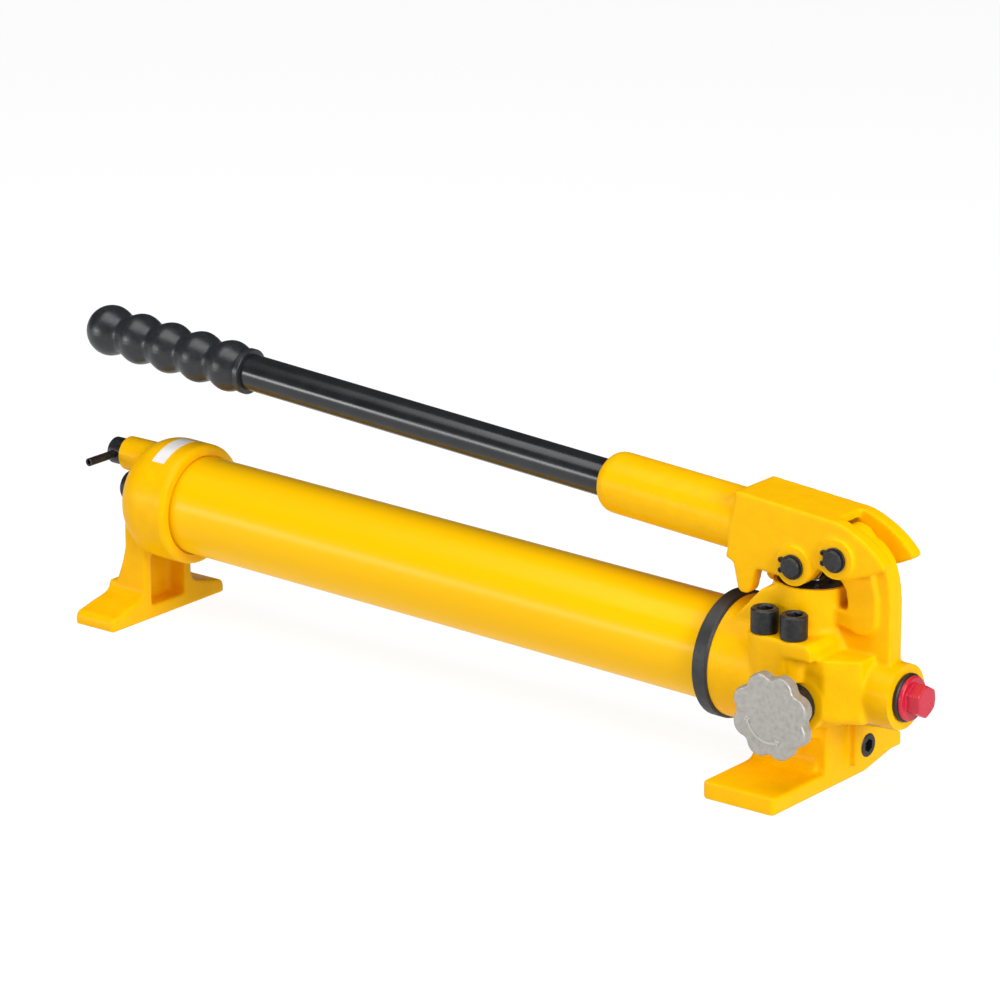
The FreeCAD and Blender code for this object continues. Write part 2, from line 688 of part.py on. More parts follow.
def ball_height(seat_z):
    """Height of a check ball's centre as it rests on its seat."""
    return seat_z + math.sqrt(CHECK_BALL_RADIUS ** 2 - SEAT_HOLE ** 2) + 0.01


def check_ball(x, y, seat_z):
    """A steel ball on its seat."""
    return Part.makeSphere(CHECK_BALL_RADIUS, V(x, y, ball_height(seat_z)))


def check_spring(x, y, seat_z, top):
    """The light spring on a check ball, up to the stop at the given height."""
    reach = CHECK_BALL_RADIUS + CHECK_WIRE + 0.02
    low = ball_height(seat_z) + math.sqrt(reach ** 2 - CHECK_SPRING_RADIUS ** 2)
    length = top - CHECK_WIRE - low - 0.02
    return coil(CHECK_SPRING_RADIUS, CHECK_WIRE, V(x, y, low), length, CHECK_SPRING_TURNS)


def suction_spring_stop():
    """The pressed ring that holds the suction spring down."""
    return ring(5.5, 2.2, up(29.6), up(30.9))


def discharge_seat():
    """The screwed seat of the discharge valve, with a slot for its driver."""
    seat = rod(5.0, DISCHARGE.add(up(32)), DISCHARGE.add(up(DISCHARGE_SEAT)))
    hole = rod(SEAT_HOLE, DISCHARGE.add(up(31)), DISCHARGE.add(up(DISCHARGE_SEAT + 1)))
    slot = block(DISCHARGE.x - 6, DISCHARGE.x + 6, DISCHARGE.y - 0.8, DISCHARGE.y + 0.8, 31, 33.5)
    return seat.cut([hole, slot])


def discharge_base_plug():
    """The hex-socket plug in the sole that closes the discharge valve's bore."""
    plug = threaded(6.5, 1.5, DISCHARGE.add(up(2)), DISCHARGE.add(up(12)))
    return plug.cut(hex_prism(6.0, DISCHARGE.add(up(1)), DISCHARGE.add(up(7))))


def gallery_plug():
    """The black hex-socket plug in the front of the foot."""
    inner = GALLERY_PLUG.sub(V(GALLERY_PLUG_DEPTH, 0, 0))
    outer = GALLERY_PLUG.add(V(0.6, 0, 0))
    plug = rod(GALLERY_PLUG_RADIUS, inner, outer)
    edge = [e for e in plug.Edges if e.BoundBox.XMin > GALLERY_PLUG.x]
    plug = plug.makeChamfer(0.5, edge)
    return plug.cut(hex_prism(7.0, outer.sub(V(5.5, 0, 0)), outer.add(V(1, 0, 0))))


ADJUSTER_THREAD_END = 84.0
POPPET_FLANGE = 74.7


def adjuster(x):
    """A hex-socket adjusting screw that stands proud of the shelf."""
    bevel = 1.0
    head = turned([(SHELF_Z, 0), (SHELF_Z, ADJUSTER_RADIUS - 0.6), (SHELF_Z + 0.6, ADJUSTER_RADIUS),
                   (ADJUSTER_TOP - bevel, ADJUSTER_RADIUS), (ADJUSTER_TOP, ADJUSTER_RADIUS - bevel),
                   (ADJUSTER_TOP, 0)], V(x, ADJUSTER_Y, 0), Z_AXIS)
    thread = threaded(ADJUSTER_THREAD_RADIUS, 1.5, V(x, ADJUSTER_Y, ADJUSTER_THREAD_END),
                      V(x, ADJUSTER_Y, SHELF_Z))
    socket = hex_prism(8.6, V(x, ADJUSTER_Y, ADJUSTER_TOP - 9), V(x, ADJUSTER_Y, ADJUSTER_TOP + 1))
    mouth = turned([(ADJUSTER_TOP - 1.6, 0), (ADJUSTER_TOP - 1.6, 3.6), (ADJUSTER_TOP, 5.4),
                    (ADJUSTER_TOP, 0)], V(x, ADJUSTER_Y, 0), Z_AXIS)
    return fuse([head, thread]).cut([socket, mouth])


def valve_poppet(x):
    """The poppet below an adjuster's spring: a cone on the seat and a flange under the spring."""
    profile = [(68.7, 0), (70.05, 1.45), (71.6, 3.0), (73.3, 3.0), (73.3, 4.3), (POPPET_FLANGE, 4.3),
               (POPPET_FLANGE, 1.9), (77.1, 1.9), (77.1, 0)]
    return turned(profile, V(x, ADJUSTER_Y, 0), Z_AXIS)


def valve_spring(x):
    """The stiff spring between a poppet and its adjusting screw."""
    wire = 0.65
    low = POPPET_FLANGE + wire + 0.02
    high = ADJUSTER_THREAD_END - wire - 0.02
    return coil(3.0, wire, V(x, ADJUSTER_Y, low), high - low, 4)


# ---------------------------------------------------------------- release valve

SPINDLE_RADIUS = 5.0
RELEASE_BALL_RADIUS = 2.6
RELEASE_SEAT_RADIUS = 1.8
RELEASE_SEAT_Y = -8.0
RELEASE_BALL_Y = RELEASE_SEAT_Y - math.sqrt(RELEASE_BALL_RADIUS ** 2 - RELEASE_SEAT_RADIUS ** 2) - 0.02
SET_SCREW_Y = -46.2


def release_gland():
    """The black gland nut of the release valve."""
    thread = threaded(8.0, 1.5, release_at(-15), release_at(RELEASE_FACE))
    collar = turned([(0, 0), (0, 11.2), (0.8, 12.0), (9.2, 12.0), (10.0, 11.2), (10.0, 0)],
                    release_at(RELEASE_FACE), V(0, -1, 0))
    bore = rod(SPINDLE_RADIUS + RUNNING_GAP, release_at(-14), release_at(-42))
    flats = []
    for side in (-1, 1):
        flats.append(block(RELEASE_X - 13, RELEASE_X + 13, -41, -32, RELEASE_Z + side * 12.5 - 2,
                           RELEASE_Z + side * 12.5 + 2))
    return fuse([thread, collar]).cut([bore] + flats)


def release_spindle():
    """The release valve's screw: threaded stem, seal groove and a tip that holds the ball."""
    profile = [(-10.6, 0), (-10.6, 3.4), (-11.4, 4.2), (-17.0, 4.2), (-17.0, SPINDLE_RADIUS),
               (-18.0, SPINDLE_RADIUS), (-18.0, 3.2), (-21.4, 3.2), (-21.4, SPINDLE_RADIUS),
               (-24.0, SPINDLE_RADIUS)]
    pitch = 1.5
    for i in range(10):
        start = -24.0 - i * pitch
        profile.append((start - 0.4 * pitch, SPINDLE_RADIUS - 0.7))
        profile.append((start - 0.5 * pitch, SPINDLE_RADIUS - 0.7))
        profile.append((start - 0.9 * pitch, SPINDLE_RADIUS))
        profile.append((start - pitch, SPINDLE_RADIUS))
    profile += [(-41.0, SPINDLE_RADIUS), (-54.0, SPINDLE_RADIUS), (-54.0, 0)]
    flipped = [(-y, radius) for y, radius in profile]
    spindle = turned(flipped, V(RELEASE_X, 0, RELEASE_Z), V(0, -1, 0))
    return spindle.cut(Part.makeSphere(RELEASE_BALL_RADIUS, release_at(RELEASE_BALL_Y)))


def release_ball():
    """The steel ball that closes the release valve's seat."""
    return Part.makeSphere(RELEASE_BALL_RADIUS, release_at(RELEASE_BALL_Y))


def spindle_o_ring():
    """The rubber ring in the spindle's groove."""
    return o_ring(release_at(-19.0), Y_AXIS, 4.12, 0.88)


def spindle_backup_ring():
    """The flat ring beside the spindle's rubber ring."""
    return ring(4.98, 3.24, release_at(-20.1), release_at(-21.3))


def release_knob():
    """The eight-lobed cast knob with a hub at the back."""
    lobes = 8
    thickness = 7.6
    lobe_radius = 8.0
    reach = KNOB_RADIUS - lobe_radius
    rim = [rod(reach + 2, release_at(KNOB_FACE), release_at(KNOB_FACE + thickness))]
    for i in range(lobes):
        angle = math.radians(360.0 / lobes * (i + 0.5))
        shift = V(reach * math.cos(angle), 0, reach * math.sin(angle))
        rim.append(rod(lobe_radius, release_at(KNOB_FACE).add(shift),
                       release_at(KNOB_FACE + thickness).add(shift)))
    disc = fuse(rim)
    notches = [e for e in disc.Edges
               if e.BoundBox.YLength > thickness - 0.1 and e.Length < thickness + 0.1]
    disc = disc.makeFillet(4.0, notches)
    face_edges = [e for e in disc.Edges if abs(e.BoundBox.YMax - KNOB_FACE) < 0.01]
    disc = disc.makeChamfer(1.0, face_edges)
    hub = rod(9.0, release_at(KNOB_FACE + thickness - 1), release_at(-43))
    bore = rod(SPINDLE_RADIUS, release_at(-54), release_at(-42))
    screw = rod(2.0, release_at(SET_SCREW_Y), release_at(SET_SCREW_Y).add(up(10)))
    return fuse([disc, hub]).cut([bore, screw])


def knob_set_screw():
    """The small set screw in the knob's hub."""
    low = release_at(SET_SCREW_Y).add(up(SPINDLE_RADIUS))
    high = release_at(SET_SCREW_Y).add(up(8.8))
    return rod(2.0, low, high).cut(hex_prism(2.0, high.sub(up(2)), high.add(up(1))))


# ---------------------------------------------------------------- outlet


def outlet_plug():
    """The red transport plug of the outlet port."""
    face = outlet_at(OUTLET_FACE)
    thread = threaded(PORT_RADIUS, 1.4, outlet_at(OUTLET_FACE - 12), outlet_at(OUTLET_FACE + 3))
    flange = turned([(3.0, 0), (3.0, 12.6), (5.0, 12.6), (5.6, 12.0), (5.6, 0)], face, X_AXIS)
    grip = hex_prism(16.5, outlet_at(OUTLET_FACE + 5), outlet_at(OUTLET_FACE + 14))
    cone = turned([(4, 0), (4, 12), (12.4, 12), (14.0, 8.0), (14.0, 0)], face, X_AXIS)
    well = rod(5.4, outlet_at(OUTLET_FACE - 13), outlet_at(OUTLET_FACE + 8))
    return fuse([thread, flange, grip.common(cone)]).cut(well)


def outlet_plug_seal():
    """The black rubber ring below the plug's flange."""
    profile = [(0.02, PORT_RADIUS + 0.1), (0.02, 13.0), (0.7, 13.7), (2.3, 13.7), (3.0, 13.0),
               (3.0, PORT_RADIUS + 0.1)]
    return turned(profile, outlet_at(OUTLET_FACE), X_AXIS)


# ---------------------------------------------------------------- lever

SOCKET_RADIUS = 17.75
SOCKET_END = 99.2
HANDLE_RADIUS = 10.9
HANDLE_BORE = 9.0
HANDLE_INNER_END = 20.0
HANDLE_OUTER_END = 482.0
GRIP_START = 363.0
GRIP_PITCH = 23.8
GRIP_LAST_BEAD = 475.9
GRIP_BEAD = 15.5
GRIP_NECK = 11.8
BOSS_RADIUS = 11.0
BOSS_FACE = 20.5
HANDLE_SCREW = 70.0          # set screw's distance along the handle
HANDLE_SCREW_RADIUS = 4.0


def lever_outline():
    """Side view of the lever casting, without its socket, in X and Z."""
    return [(-40.5, 165.2), (26, 160), ("arc", (43.2, 152.8), (57.6, 141.2)), (58.6, 138.2),
            (49.7, 134), (34, 127.8), ("arc", (24, 127.9), (15, 131)), (8.5, 122.4),
            ("arc", (0, 119.8), (-9, 121.6)), (-26, 122.8), (-29.2, 110),
            ("arc", (-33.6, 107.3), (-38, 109.6)), (-41.3, 123.8), (-46.4, 125.8)]


def lever_head():
    """The lever casting: two cheeks, a top web, two stop legs and the handle's socket."""
    body = side_plate(lever_outline(), -LEVER_HALF_WIDTH, LEVER_HALF_WIDTH)
    pins = (FULCRUM, PLUNGER_PIN)
    bosses = [rod(BOSS_RADIUS, V(p.x, -BOSS_FACE, p.z), V(p.x, BOSS_FACE, p.z)) for p in pins]
    soft = 9.0
    profile = [(-6, 0), (-6, SOCKET_RADIUS), (SOCKET_END - soft, SOCKET_RADIUS)]
    profile += arc_points((SOCKET_END - soft, SOCKET_RADIUS - soft), soft, 90, 25, RIGHT_ANGLE_STEPS)
    profile += [(SOCKET_END, HANDLE_RADIUS + 1.2), (SOCKET_END, 0)]
    direction = on_handle(1).sub(on_handle(0))
    socket = turned(profile, HANDLE_START, direction)
    casting = fuse([body, socket] + bosses)
    gap = side_plate([(-22, 100), (-22, 148), ("arc", (-19.5, 153.5), (-14, 155.5)), (23.5, 155.5),
                      (23.5, 170), (80, 170), (80, 100)], -LEVER_GAP, LEVER_GAP)
    leg_gap = block(-50, -20, -LEVER_GAP, LEVER_GAP, 100, 122)
    cuts = [gap, leg_gap, rod(HANDLE_RADIUS, on_handle(HANDLE_INNER_END), on_handle(SOCKET_END + 2))]
    cuts += [rod(PIN_RADIUS, V(p.x, -30, p.z), V(p.x, 30, p.z)) for p in pins]
    screw_at = on_handle(HANDLE_SCREW)
    cuts.append(rod(HANDLE_SCREW_RADIUS, screw_at, screw_at.sub(up(25))))
    return casting.cut(cuts).removeSplitter()


def handle_tube():
    """The black steel handle tube."""
    tube = ring(HANDLE_RADIUS, HANDLE_BORE, on_handle(HANDLE_INNER_END), on_handle(HANDLE_OUTER_END))
    dimple = on_handle(HANDLE_SCREW)
    return tube.cut(rod(HANDLE_SCREW_RADIUS, dimple, dimple.sub(up(15))))


def handle_set_screw():
    """The set screw below the socket that holds the handle tube."""
    centre = on_handle(HANDLE_SCREW)
    low = centre.sub(up(SOCKET_RADIUS - 0.8))
    high = centre.sub(up(HANDLE_BORE + 0.4))
    socket = hex_prism(4.0, low.sub(up(1)), low.add(up(3.5)))
    return rod(HANDLE_SCREW_RADIUS, low, high).cut(socket)


def handle_grip():
    """The ribbed rubber grip: five rounded beads with a round closed end."""
    collar = 13.8
    profile = [(GRIP_START, HANDLE_RADIUS), (GRIP_START, collar - 0.6), (GRIP_START + 1, collar),
               (GRIP_START + 4.5, collar)]
    steps_per_bead = 10
    steps = int(4.5 * steps_per_bead)
    for i in range(steps):
        beads_left = (steps - i) / steps_per_bead
        swell = 0.5 + 0.5 * math.cos(2 * math.pi * beads_left)
        profile.append((GRIP_LAST_BEAD - beads_left * GRIP_PITCH,
                        GRIP_NECK + (GRIP_BEAD - GRIP_NECK) * swell ** 0.7))
    profile += arc_points((GRIP_LAST_BEAD, 0), GRIP_BEAD, 90, 8, steps_per_bead)
    profile += [(profile[-1][0], 0), (HANDLE_OUTER_END + 0.5, 0), (HANDLE_OUTER_END + 0.5, HANDLE_RADIUS)]
    direction = on_handle(1).sub(on_handle(0))
    return turned(profile, HANDLE_START, direction)


PIN_HALF_LENGTH = 24.2
CLIP_INNER_FACE = BOSS_FACE + 0.1
CLIP_THICKNESS = 1.3
CLIP_GROOVE = 0.5


def lever_pin(at):
    """A plain steel pin with a clip groove near each end."""
    bevel = 0.8
    profile = [(-PIN_HALF_LENGTH, 0), (-PIN_HALF_LENGTH, PIN_RADIUS - bevel),
               (-PIN_HALF_LENGTH + bevel, PIN_RADIUS), (PIN_HALF_LENGTH - bevel, PIN_RADIUS),
               (PIN_HALF_LENGTH, PIN_RADIUS - bevel), (PIN_HALF_LENGTH, 0)]
    pin = turned(profile, at, Y_AXIS)
    grooves = []
    for side in (-1, 1):
        inner = V(at.x, side * CLIP_INNER_FACE, at.z)
        outer = V(at.x, side * (CLIP_INNER_FACE + CLIP_THICKNESS), at.z)
        grooves.append(ring(PIN_RADIUS + 1, PIN_RADIUS - CLIP_GROOVE, inner, outer))
    return pin.cut(grooves)


def pin_circlips(at):
    """The two open spring clips of one pin, with their lugs towards the handle."""
    clips = []
    for side in (-1, 1):
        inner = V(at.x, side * CLIP_INNER_FACE, at.z)
        outer = V(at.x, side * (CLIP_INNER_FACE + CLIP_THICKNESS), at.z)
        body = rod(PIN_RADIUS + 1.0, inner, outer)
        lugs = []
        holes = []
        for tilt_angle in (158, 202):
            angle = math.radians(tilt_angle)
            shift = V(7.8 * math.cos(angle), 0, 7.8 * math.sin(angle))
            lugs.append(rod(1.6, inner.add(shift), outer.add(shift)))
            holes.append(rod(0.7, inner.add(shift), outer.add(shift)))
        mouth = block(at.x - 14, at.x - 1, -30, 30, at.z - 1.2, at.z + 1.2)
        hole = rod(PIN_RADIUS - CLIP_GROOVE, inner, outer)
        clips.append(fuse([body] + lugs).cut([hole, mouth] + holes))
    return Part.makeCompound(clips)


# ---------------------------------------------------------------- vent screw

VENT_THREAD_RADIUS = 5.0
VENT_KNOB_RADIUS = 8.2
VENT_KNOB_LENGTH = 12.1
CROSS_PIN_X = VENT_FACE - 6.5
CROSS_PIN_RADIUS = 2.5


def vent_at(x):
    """A point on the vent screw's axis."""
    return V(x, 0, VENT_Z)


def vent_screw():
    """The black vent screw with a round head, drilled for its cross pin."""
    head = turned([(0, 0), (0, VENT_KNOB_RADIUS), (VENT_KNOB_LENGTH - 1, VENT_KNOB_RADIUS),
                   (VENT_KNOB_LENGTH, VENT_KNOB_RADIUS - 1), (VENT_KNOB_LENGTH, 0)],
                  vent_at(VENT_FACE), V(-1, 0, 0))
    thread = threaded(VENT_THREAD_RADIUS, 1.25, vent_at(VENT_FACE + 18), vent_at(VENT_FACE))
    groove = ring(7.45, 5.35, vent_at(VENT_FACE + 1), vent_at(VENT_FACE - 1.9))
    cross = rod(CROSS_PIN_RADIUS, V(CROSS_PIN_X, -10, VENT_Z), V(CROSS_PIN_X, 10, VENT_Z))
    breather = block(VENT_FACE, VENT_FACE + 19, -0.8, 0.8, VENT_Z - 6, VENT_Z - 3.8)
    return fuse([head, thread]).cut([groove, cross, breather])


def vent_cross_pin():
    """The slotted spring pin that turns the vent screw by hand."""
    near = -30.0
    far = 8.0
    pin = ring(CROSS_PIN_RADIUS, 1.5, V(CROSS_PIN_X, near, VENT_Z), V(CROSS_PIN_X, far, VENT_Z))
    slit = 0.5
    return pin.cut(block(CROSS_PIN_X - slit, CROSS_PIN_X + slit, near - 1, far + 1, VENT_Z, VENT_Z + 4))


def vent_o_ring():
    """The rubber ring below the vent screw's head."""
    return o_ring(vent_at(VENT_FACE - 0.92), X_AXIS, 6.4, 0.9)


# ---------------------------------------------------------------- export

NODES = {
    "pump_head": pump_head(),
    "tank_ring": tank_ring(),
    "reservoir_tube": tank_tube(),
    "rear_cap": rear_cap(),
    "front_tank_seal": tank_seal(-42.2),
    "rear_tank_seal": tank_seal(-455.0),
    "tie_rod": tie_rod(),
    "tie_rod_nut": tie_rod_nut(),
    "tie_rod_washer": tie_rod_washer(),
    "suction_tube": suction_tube(),
    "suction_strainer": suction_strainer(),
    "cylinder_gland": cylinder_gland(),
    "gland_seal": gland_seal(),
    "rod_wiper": rod_wiper(),
    "high_pressure_seal": high_pressure_seal(),
    "high_pressure_backup_ring": high_pressure_backup_ring(),
    "suction_ball": check_ball(0, 0, SUCTION_SEAT),
    "suction_spring": check_spring(0, 0, SUCTION_SEAT, 29.6),
    "suction_spring_stop": suction_spring_stop(),
    "discharge_seat": discharge_seat(),
    "discharge_ball": check_ball(DISCHARGE.x, DISCHARGE.y, DISCHARGE_SEAT),
    "discharge_spring": check_spring(DISCHARGE.x, DISCHARGE.y, DISCHARGE_SEAT, 56.5),
    "discharge_base_plug": discharge_base_plug(),
    "gallery_plug": gallery_plug(),
    "relief_adjuster": adjuster(RELIEF_X),
    "relief_spring": valve_spring(RELIEF_X),
    "relief_poppet": valve_poppet(RELIEF_X),
    "unloading_adjuster": adjuster(UNLOADER_X),
    "unloading_spring": valve_spring(UNLOADER_X),
    "unloading_poppet": valve_poppet(UNLOADER_X),
    "release_gland": release_gland(),
    "plunger": plunger(),
    "piston_seal": piston_seal(),
    "piston_backup_ring": piston_backup_ring(),
    "high_pressure_plunger": high_pressure_plunger(),
    "lever_head": lever_head(),
    "handle_tube": handle_tube(),
    "handle_grip": handle_grip(),
    "handle_set_screw": handle_set_screw(),
    "fulcrum_pin": lever_pin(FULCRUM),
    "plunger_pin": lever_pin(PLUNGER_PIN),
    "fulcrum_pin_circlips": pin_circlips(FULCRUM),
    "plunger_pin_circlips": pin_circlips(PLUNGER_PIN),
    "spindle_o_ring": spindle_o_ring(),
    "spindle_backup_ring": spindle_backup_ring(),
    "release_spindle": release_spindle(),
    "release_ball": release_ball(),
    "release_knob": release_knob(),
    "knob_set_screw": knob_set_screw(),
    "vent_o_ring": vent_o_ring(),
    "vent_screw": vent_screw(),
    "vent_cross_pin": vent_cross_pin(),
    "outlet_plug": outlet_plug(),
    "outlet_plug_seal": outlet_plug_seal(),
}

os.makedirs("parts", exist_ok=True)
for name, shape in NODES.items():
    shape.exportStep("parts/" + name + ".step")
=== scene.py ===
import json
import math

import bmesh
import bpy
from mathutils import Matrix, Vector


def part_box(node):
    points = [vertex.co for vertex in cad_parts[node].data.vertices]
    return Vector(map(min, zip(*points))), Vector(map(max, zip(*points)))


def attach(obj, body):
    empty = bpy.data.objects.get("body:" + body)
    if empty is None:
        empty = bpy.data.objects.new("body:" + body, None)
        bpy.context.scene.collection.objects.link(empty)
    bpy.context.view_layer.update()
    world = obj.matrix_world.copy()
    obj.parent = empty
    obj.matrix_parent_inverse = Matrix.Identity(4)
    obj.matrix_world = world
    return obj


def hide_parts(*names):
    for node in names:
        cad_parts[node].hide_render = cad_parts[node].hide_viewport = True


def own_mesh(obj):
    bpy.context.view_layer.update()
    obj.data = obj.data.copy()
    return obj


# Looks of a two-speed hydraulic hand pump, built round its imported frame.
# Points and sizes are written in millimetres and turned into metres by at() and MM.
# The origin is on the floor below the plunger, +X runs to the outlet, and the knob faces -Y.

MM = 0.001

# ---------------------------------------------------------------- driving dimensions, millimetres

TANK_TILT = math.radians(1.5)
TANK_AXIS_Z = 62.7
TANK_RADIUS = 30.0
TANK_BORE = 27.0
TANK_FRONT = -38.0
TANK_REAR = -470.0
HEAD_REAR = -46.0
BARREL_RADIUS = 35.0
HEAD_CHAMBER_END = -34.0
TOWER_TOP = 118.0
GLAND_SEAT = 113.0
GLAND_RADIUS = 19.4
GLAND_BORE = 16.0
TOWER_RADIUS = 22.0
PISTON_BORE = 13.0
SHELF_Z = 92.7
ADJUSTER_TOP = 106.8
ADJUSTER_Y = -29.0
ADJUSTER_XS = (-12.0, 7.5)
ADJUSTER_BORE = 6.0
ADJUSTER_CUT = 8.15
OUTLET_Z = 62.5
OUTLET_FACE = 62.0
OUTLET_RADIUS = 18.5
OUTLET_BORE = 8.45
RELEASE_X = 11.5
RELEASE_Z = 56.0
RELEASE_FACE = -30.0
RELEASE_BORE = 8.0
RELEASE_BORE_END = -14.0
RELEASE_SEAT = -8.0
BALL_CHAMBER = 5.0
DISCHARGE_X = 6.0
DISCHARGE_Y = 22.0
DISCHARGE_BORE = 6.5
GALLERY_Y = 25.0
GALLERY_Z = 18.2
GALLERY_BORE = 6.8
SPINDLE_RADIUS = 5.0
KNOB_FACE = -58.0
KNOB_HUB_END = -43.0
FULCRUM = (27.6, 139.3)
PLUNGER_PIN = (0.0, 129.9)
PIN_RADIUS = 6.0
BOSS_FACE = 20.5
BOSS_RADIUS = 11.0
CAP_FRONT = -446.3
CAP_REAR = -491.3
CAP_RADIUS = 37.0
CAP_DOME = 24.0
CAP_WALL = -480.0
VENT_Z = 96.5
VENT_FACE = -504.0
HANDLE_START = (-41.0, 142.6)
HANDLE_RISE = 0.0618
HANDLE_RADIUS = 10.9
HANDLE_BORE = 9.0
HANDLE_END = 482.0
SOCKET_END = 99.2
GRIP_START = 364.5
GRIP_PITCH = 23.8
GRIP_LAST_BEAD = 475.9
GRIP_BEAD = 15.5
GRIP_NECK = 11.8

FIT_GAP = 0.02       # between pieces that are fitted into each other
BEVEL = 0.4          # on the ends of the tubes
CAST_VOXEL = 0.9     # size of the remesh of the large castings
PROUD = 3.0          # how far a filler stands past the face that is cut after it
COVER = 1.0          # how much wider a filler is than the bore that is cut after it

# ---------------------------------------------------------------- places


def at(x, y, z):
    """A point in metres from millimetres."""
    return Vector((x, y, z)) * MM


def on_tank(along, across=0.0, up=0.0):
    """A point given along the tank's tilted axis."""
    turned = Matrix.Rotation(TANK_TILT, 3, "Y") @ Vector((along, across, up))
    return (turned + Vector((0, 0, TANK_AXIS_Z))) * MM


def on_handle(along):
    """A point on the handle's axis, measured from its start towards the grip."""
    direction = Vector((-1, 0, HANDLE_RISE)).normalized()
    return at(HANDLE_START[0], 0, HANDLE_START[1]) + direction * along * MM


def outlet_at(x):
    """A point on the outlet port's axis."""
    return at(x, 0, OUTLET_Z)


def vent_at(x):
    """A point on the vent screw's axis."""
    return at(x, 0, VENT_Z)


def release_at(y):
    """A point on the release valve's axis."""
    return at(RELEASE_X, y, RELEASE_Z)


def upright(x, y, low, high, radius):
    """An upright cylinder as its start, end and radius."""
    return at(x, y, low), at(x, y, high), radius


def crosswise(x, z, reach, radius):
    """A cylinder along Y, as far on one side as on the other, as its start, end and radius."""
    return at(x, -reach, z), at(x, reach, z), radius


# ---------------------------------------------------------------- mesh helpers


def new_piece(name, bm):
    """A linked object that owns a bmesh's geometry."""
    mesh = bpy.data.meshes.new(name)
    bm.to_mesh(mesh)
    bm.free()
    piece = bpy.data.objects.new(name, mesh)
    bpy.context.scene.collection.objects.link(piece)
    return piece


def soften_shading(piece, angle=35):
    """Smooth shading that keeps edges sharper than an angle."""
    mesh = piece.data
    mesh.polygons.foreach_set("use_smooth", [True] * len(mesh.polygons))
    mesh.set_sharp_from_angle(angle=math.radians(angle))


def apply_modifiers(piece):
    """Makes a piece's modifiers part of its mesh."""
    depsgraph = bpy.context.evaluated_depsgraph_get()
    mesh = bpy.data.meshes.new_from_object(piece.evaluated_get(depsgraph))
    piece.modifiers.clear()
    piece.data = mesh


def add_rod(bm, start, end, radius, segments=72):
    """A closed cylinder between two points in metres; the radius is in millimetres."""
    line = end - start
    turn = line.to_track_quat("Z", "Y").to_matrix().to_4x4()
    place = Matrix.Translation((start + end) / 2) @ turn
    bmesh.ops.create_cone(bm, cap_ends=True, cap_tris=False, segments=segments, radius1=radius * MM,
                          radius2=radius * MM, depth=line.length, matrix=place)


def lathe(name, profile, origin, direction, segments=128, ridge=0.0):
    """A closed solid of revolution from (distance along the axis, radius) in millimetres.

    A ridge raises a thin moulding line on two opposite sides.
    """
    bm = bmesh.new()
    turn = direction.to_track_quat("Z", "Y").to_matrix()
    rings = []
    for along, radius in profile:
        if radius == 0:
            rings.append([bm.verts.new(origin + turn @ Vector((0, 0, along * MM)))])
            continue
        loop = []
        for i in range(segments):
            angle = 2 * math.pi * i / segments
            proud = ridge if i % (segments // 2) == 0 else 0.0
            reach = (radius + proud) * MM
            local = Vector((reach * math.cos(angle), reach * math.sin(angle), along * MM))
            loop.append(bm.verts.new(origin + turn @ local))
        rings.append(loop)
    for first, second in zip(rings, rings[1:] + rings[:1]):
        bridge(bm, first, second)
    bmesh.ops.recalc_face_normals(bm, faces=bm.faces)
    piece = new_piece(name, bm)
    soften_shading(piece)
    return piece


def bridge(bm, first, second):
    """Faces between two rings, either of which may be a single point."""
    if len(first) == 1 and len(second) == 1:
        return
    count = max(len(first), len(second))
    for i in range(count):
        j = (i + 1) % count
        if len(first) == 1:
            bm.faces.new((first[0], second[j], second[i]))
        elif len(second) == 1:
            bm.faces.new((first[i], first[j], second[0]))
        else:
            bm.faces.new((first[i], first[j], second[j], second[i]))


def keep_outer_shell(bm):
    """Deletes the sealed shells inside a closed mesh."""
    unseen = set(bm.verts)
    shells = []
    while unseen:
        stack = [unseen.pop()]
        shell = list(stack)
        while stack:
            for edge in stack.pop().link_edges:
                for vert in edge.verts:
                    if vert in unseen:
                        unseen.remove(vert)
                        stack.append(vert)
                        shell.append(vert)
        shells.append(shell)
    shells.sort(key=len)
    for shell in shells[:-1]:
        bmesh.ops.delete(bm, geom=shell, context="VERTS")


def cut_rods(piece, rods):
    """Cuts cylinders out of a piece, one after another."""
    for start, end, radius in rods:
        bm = bmesh.new()
        add_rod(bm, start, end, radius)
        cutter = new_piece("cutter", bm)
        cut = piece.modifiers.new("cut", "BOOLEAN")
        cut.operation = "DIFFERENCE"
        cut.solver = "MANIFOLD"
        cut.object = cutter
        apply_modifiers(piece)
        bpy.data.objects.remove(cutter)


def casting(name, node, voxel, rounds, fillers=(), bores=()):
    """A copy of a CAD casting with soft cast edges and crisp machined faces.

    The fillers close its bores and stand proud of its machined faces. The copy is then remeshed and
    smoothed, and the bores cut the machined faces anew.
    """
    bm = bmesh.new()
    bm.from_mesh(node.data)
    bmesh.ops.remove_doubles(bm, verts=bm.verts, dist=1e-6)
    for start, end, radius in fillers:
        add_rod(bm, start, end, radius)
    piece = new_piece(name, bm)
    remesh = piece.modifiers.new("remesh", "REMESH")
    remesh.mode = "VOXEL"
    remesh.voxel_size = voxel * MM
    smooth = piece.modifiers.new("smooth", "SMOOTH")
    smooth.factor = 0.5
    smooth.iterations = rounds
    apply_modifiers(piece)
    bm = bmesh.new()
    bm.from_mesh(piece.data)
    keep_outer_shell(bm)
    bm.to_mesh(piece.data)
    bm.free()
    cut_rods(piece, bores)
    soften_shading(piece)
    return piece


def settle(piece, body, slot, *nodes):
    """Puts a piece on its body and hides the CAD nodes it stands for; the slot argument is not used."""
    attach(piece, body)
    if nodes:
        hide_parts(*nodes)
    return piece


# ---------------------------------------------------------------- castings


